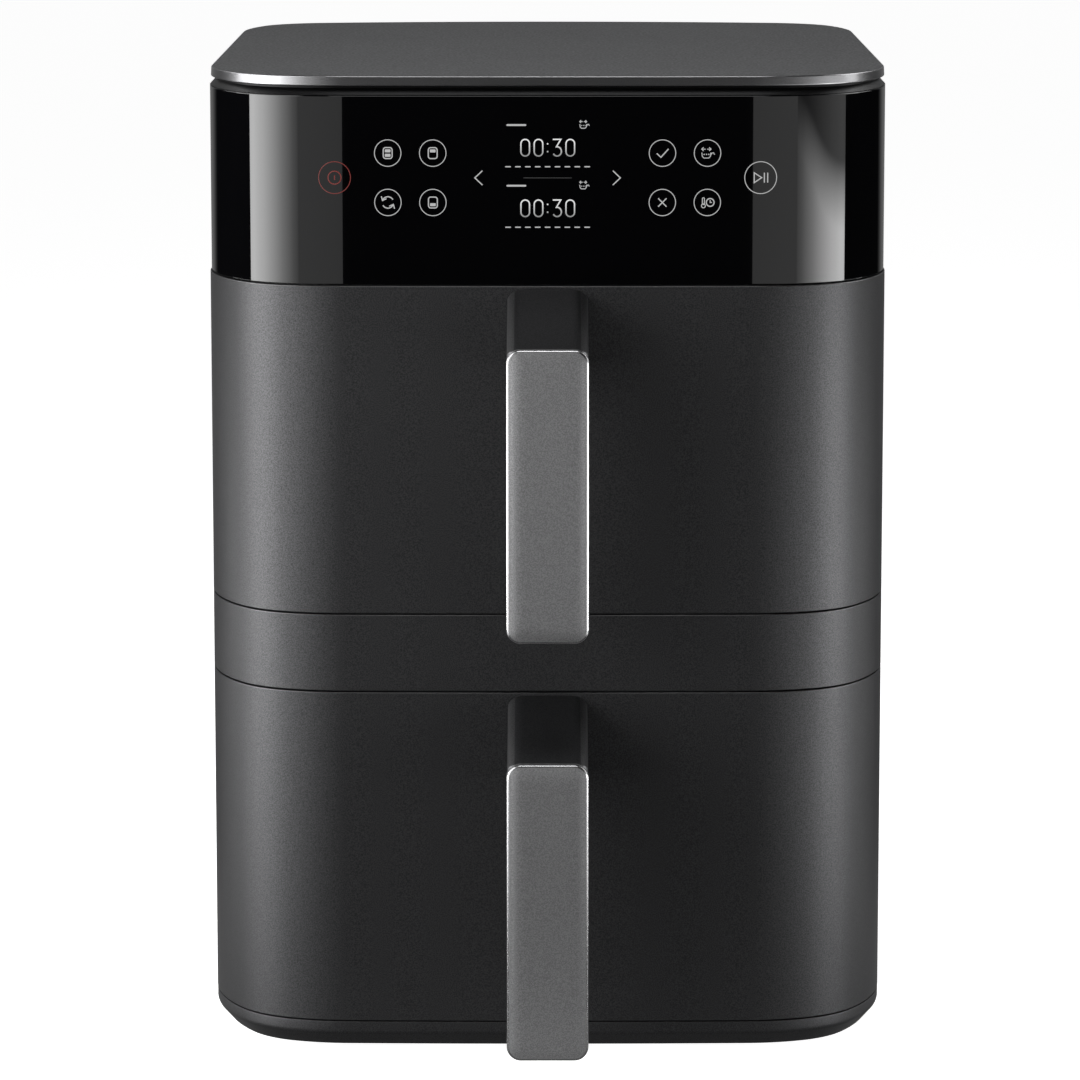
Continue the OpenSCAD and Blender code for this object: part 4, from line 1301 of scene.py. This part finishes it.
class FRYER_OT_pans(FryerOperator, bpy.types.Operator):
    """Build the drawn pans with their rolled rims"""

    bl_idname = "fryer.pans"
    bl_label = "Pans"

    def build(self, outline, sizes):
        for zone in ZONES:
            self.make_pan(zone)

    def make_pan(self, zone):
        low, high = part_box(f"{zone}_drawer_pan")
        wall, fillet, corner = 1.5 * MM, 7 * MM, 24 * MM
        lip, lip_back, roll = 5 * MM, 3 * MM, 0.4 * MM
        width, back, rim = high.x - low.x - 2 * lip, high.y - lip_back, high.z
        steps = [(fillet * inset, low.z + fillet * rise) for rise, inset in quarter_arc(6)]
        steps += [
            (0.0, rim - 2 * MM), (roll - lip, rim - 2 * MM), (-lip, rim - 1.6 * MM),
            (-lip, rim - roll), (roll - lip, rim), (wall - 0.8 * MM, rim), (wall, rim - 0.8 * MM),
        ]
        inner, floor = fillet - wall, low.z + wall
        steps += [(wall + inner * inset, floor + inner * rise) for rise, inset in reversed(quarter_arc(6))]
        rows = []
        for inset, z in steps:
            loop = rounded_loop(
                width - 2 * inset, low.y + max(inset, 0.0), back + min(-inset, lip_back), corner - inset, 10
            )
            rows.append([(x, y, z) for x, y in loop])
        piece = make_object(f"{zone}_pan", *loft(rows), finish_for("pan_coating"), sharp=45.0)
        install(piece, f"{zone}_drawer", "pan_coating", f"{zone}_drawer_pan")


class FRYER_OT_inner_parts(FryerOperator, bpy.types.Operator):
    """Give every solid that stays in sight its slot's finish, and soften the edges that a hand meets"""

    bl_idname = "fryer.inner_parts"
    bl_label = "Inner Parts"
    SOFT_EDGES = (
        ("front_frame", 0.4 * MM), ("drawer_bracket", 0.4 * MM), ("feet", 0.6 * MM),
        ("cord_gland", 0.4 * MM), ("crisper_bumpers", 0.3 * MM), ("crisper_plate", 0.25 * MM),
        ("drawer_rails", 0.2 * MM), ("chamber_liner", 0.2 * MM), ("drawer_switch", 0.3 * MM),
        ("screws", 0.2 * MM),
    )

    def build(self, outline, sizes):
        for row in frame["record"]["subparts"]:
            node = frame["nodes"][row["node"]]
            node.data.materials.clear()
            node.data.materials.append(finish_for(row["material_slot"]))
            node.data.shade_smooth()
            node.data.set_sharp_from_angle(angle=SHARP_ANGLE)
            for part, width in self.SOFT_EDGES:
                if row["node"].endswith(part):
                    round_edges(node, width, 2)


class FRYER_PT_panel(bpy.types.Panel):
    """Lists the builders in the sidebar."""

    bl_idname = "FRYER_PT_panel"
    bl_label = "Air Fryer"
    bl_space_type = "VIEW_3D"
    bl_region_type = "UI"
    bl_category = "Air Fryer"

    def draw(self, context):
        for operator in OPERATORS:
            self.layout.operator(operator.bl_idname)
        for group in GROUPS:
            box = self.layout.box()
            owner = getattr(context.scene, group)
            for name in owner.bl_rna.properties.keys():
                if name not in {"rna_type", "name"}:
                    box.prop(owner, name)


GROUPS = {"fryer_shells": ShellSizes, "fryer_handles": HandleSizes, "fryer_finishes": Finishes}
OPERATORS = (
    FRYER_OT_stage, FRYER_OT_inner_parts, FRYER_OT_outer_shells, FRYER_OT_touch_panel,
    FRYER_OT_drawer_fronts, FRYER_OT_handles, FRYER_OT_pans,
)


def register():
    for item in (*GROUPS.values(), *OPERATORS, FRYER_PT_panel):
        bpy.utils.register_class(item)
    for name, group in GROUPS.items():
        setattr(bpy.types.Scene, name, bpy.props.PointerProperty(type=group))


def unregister():
    for name in GROUPS:
        delattr(bpy.types.Scene, name)
    for item in reversed((*GROUPS.values(), *OPERATORS, FRYER_PT_panel)):
        bpy.utils.unregister_class(item)


def main():
    """Builds everything in order."""
    register()
    for operator in OPERATORS:
        area, name = operator.bl_idname.split(".")
        getattr(getattr(bpy.ops, area), name)()


if __name__ == "__main__":
    main()
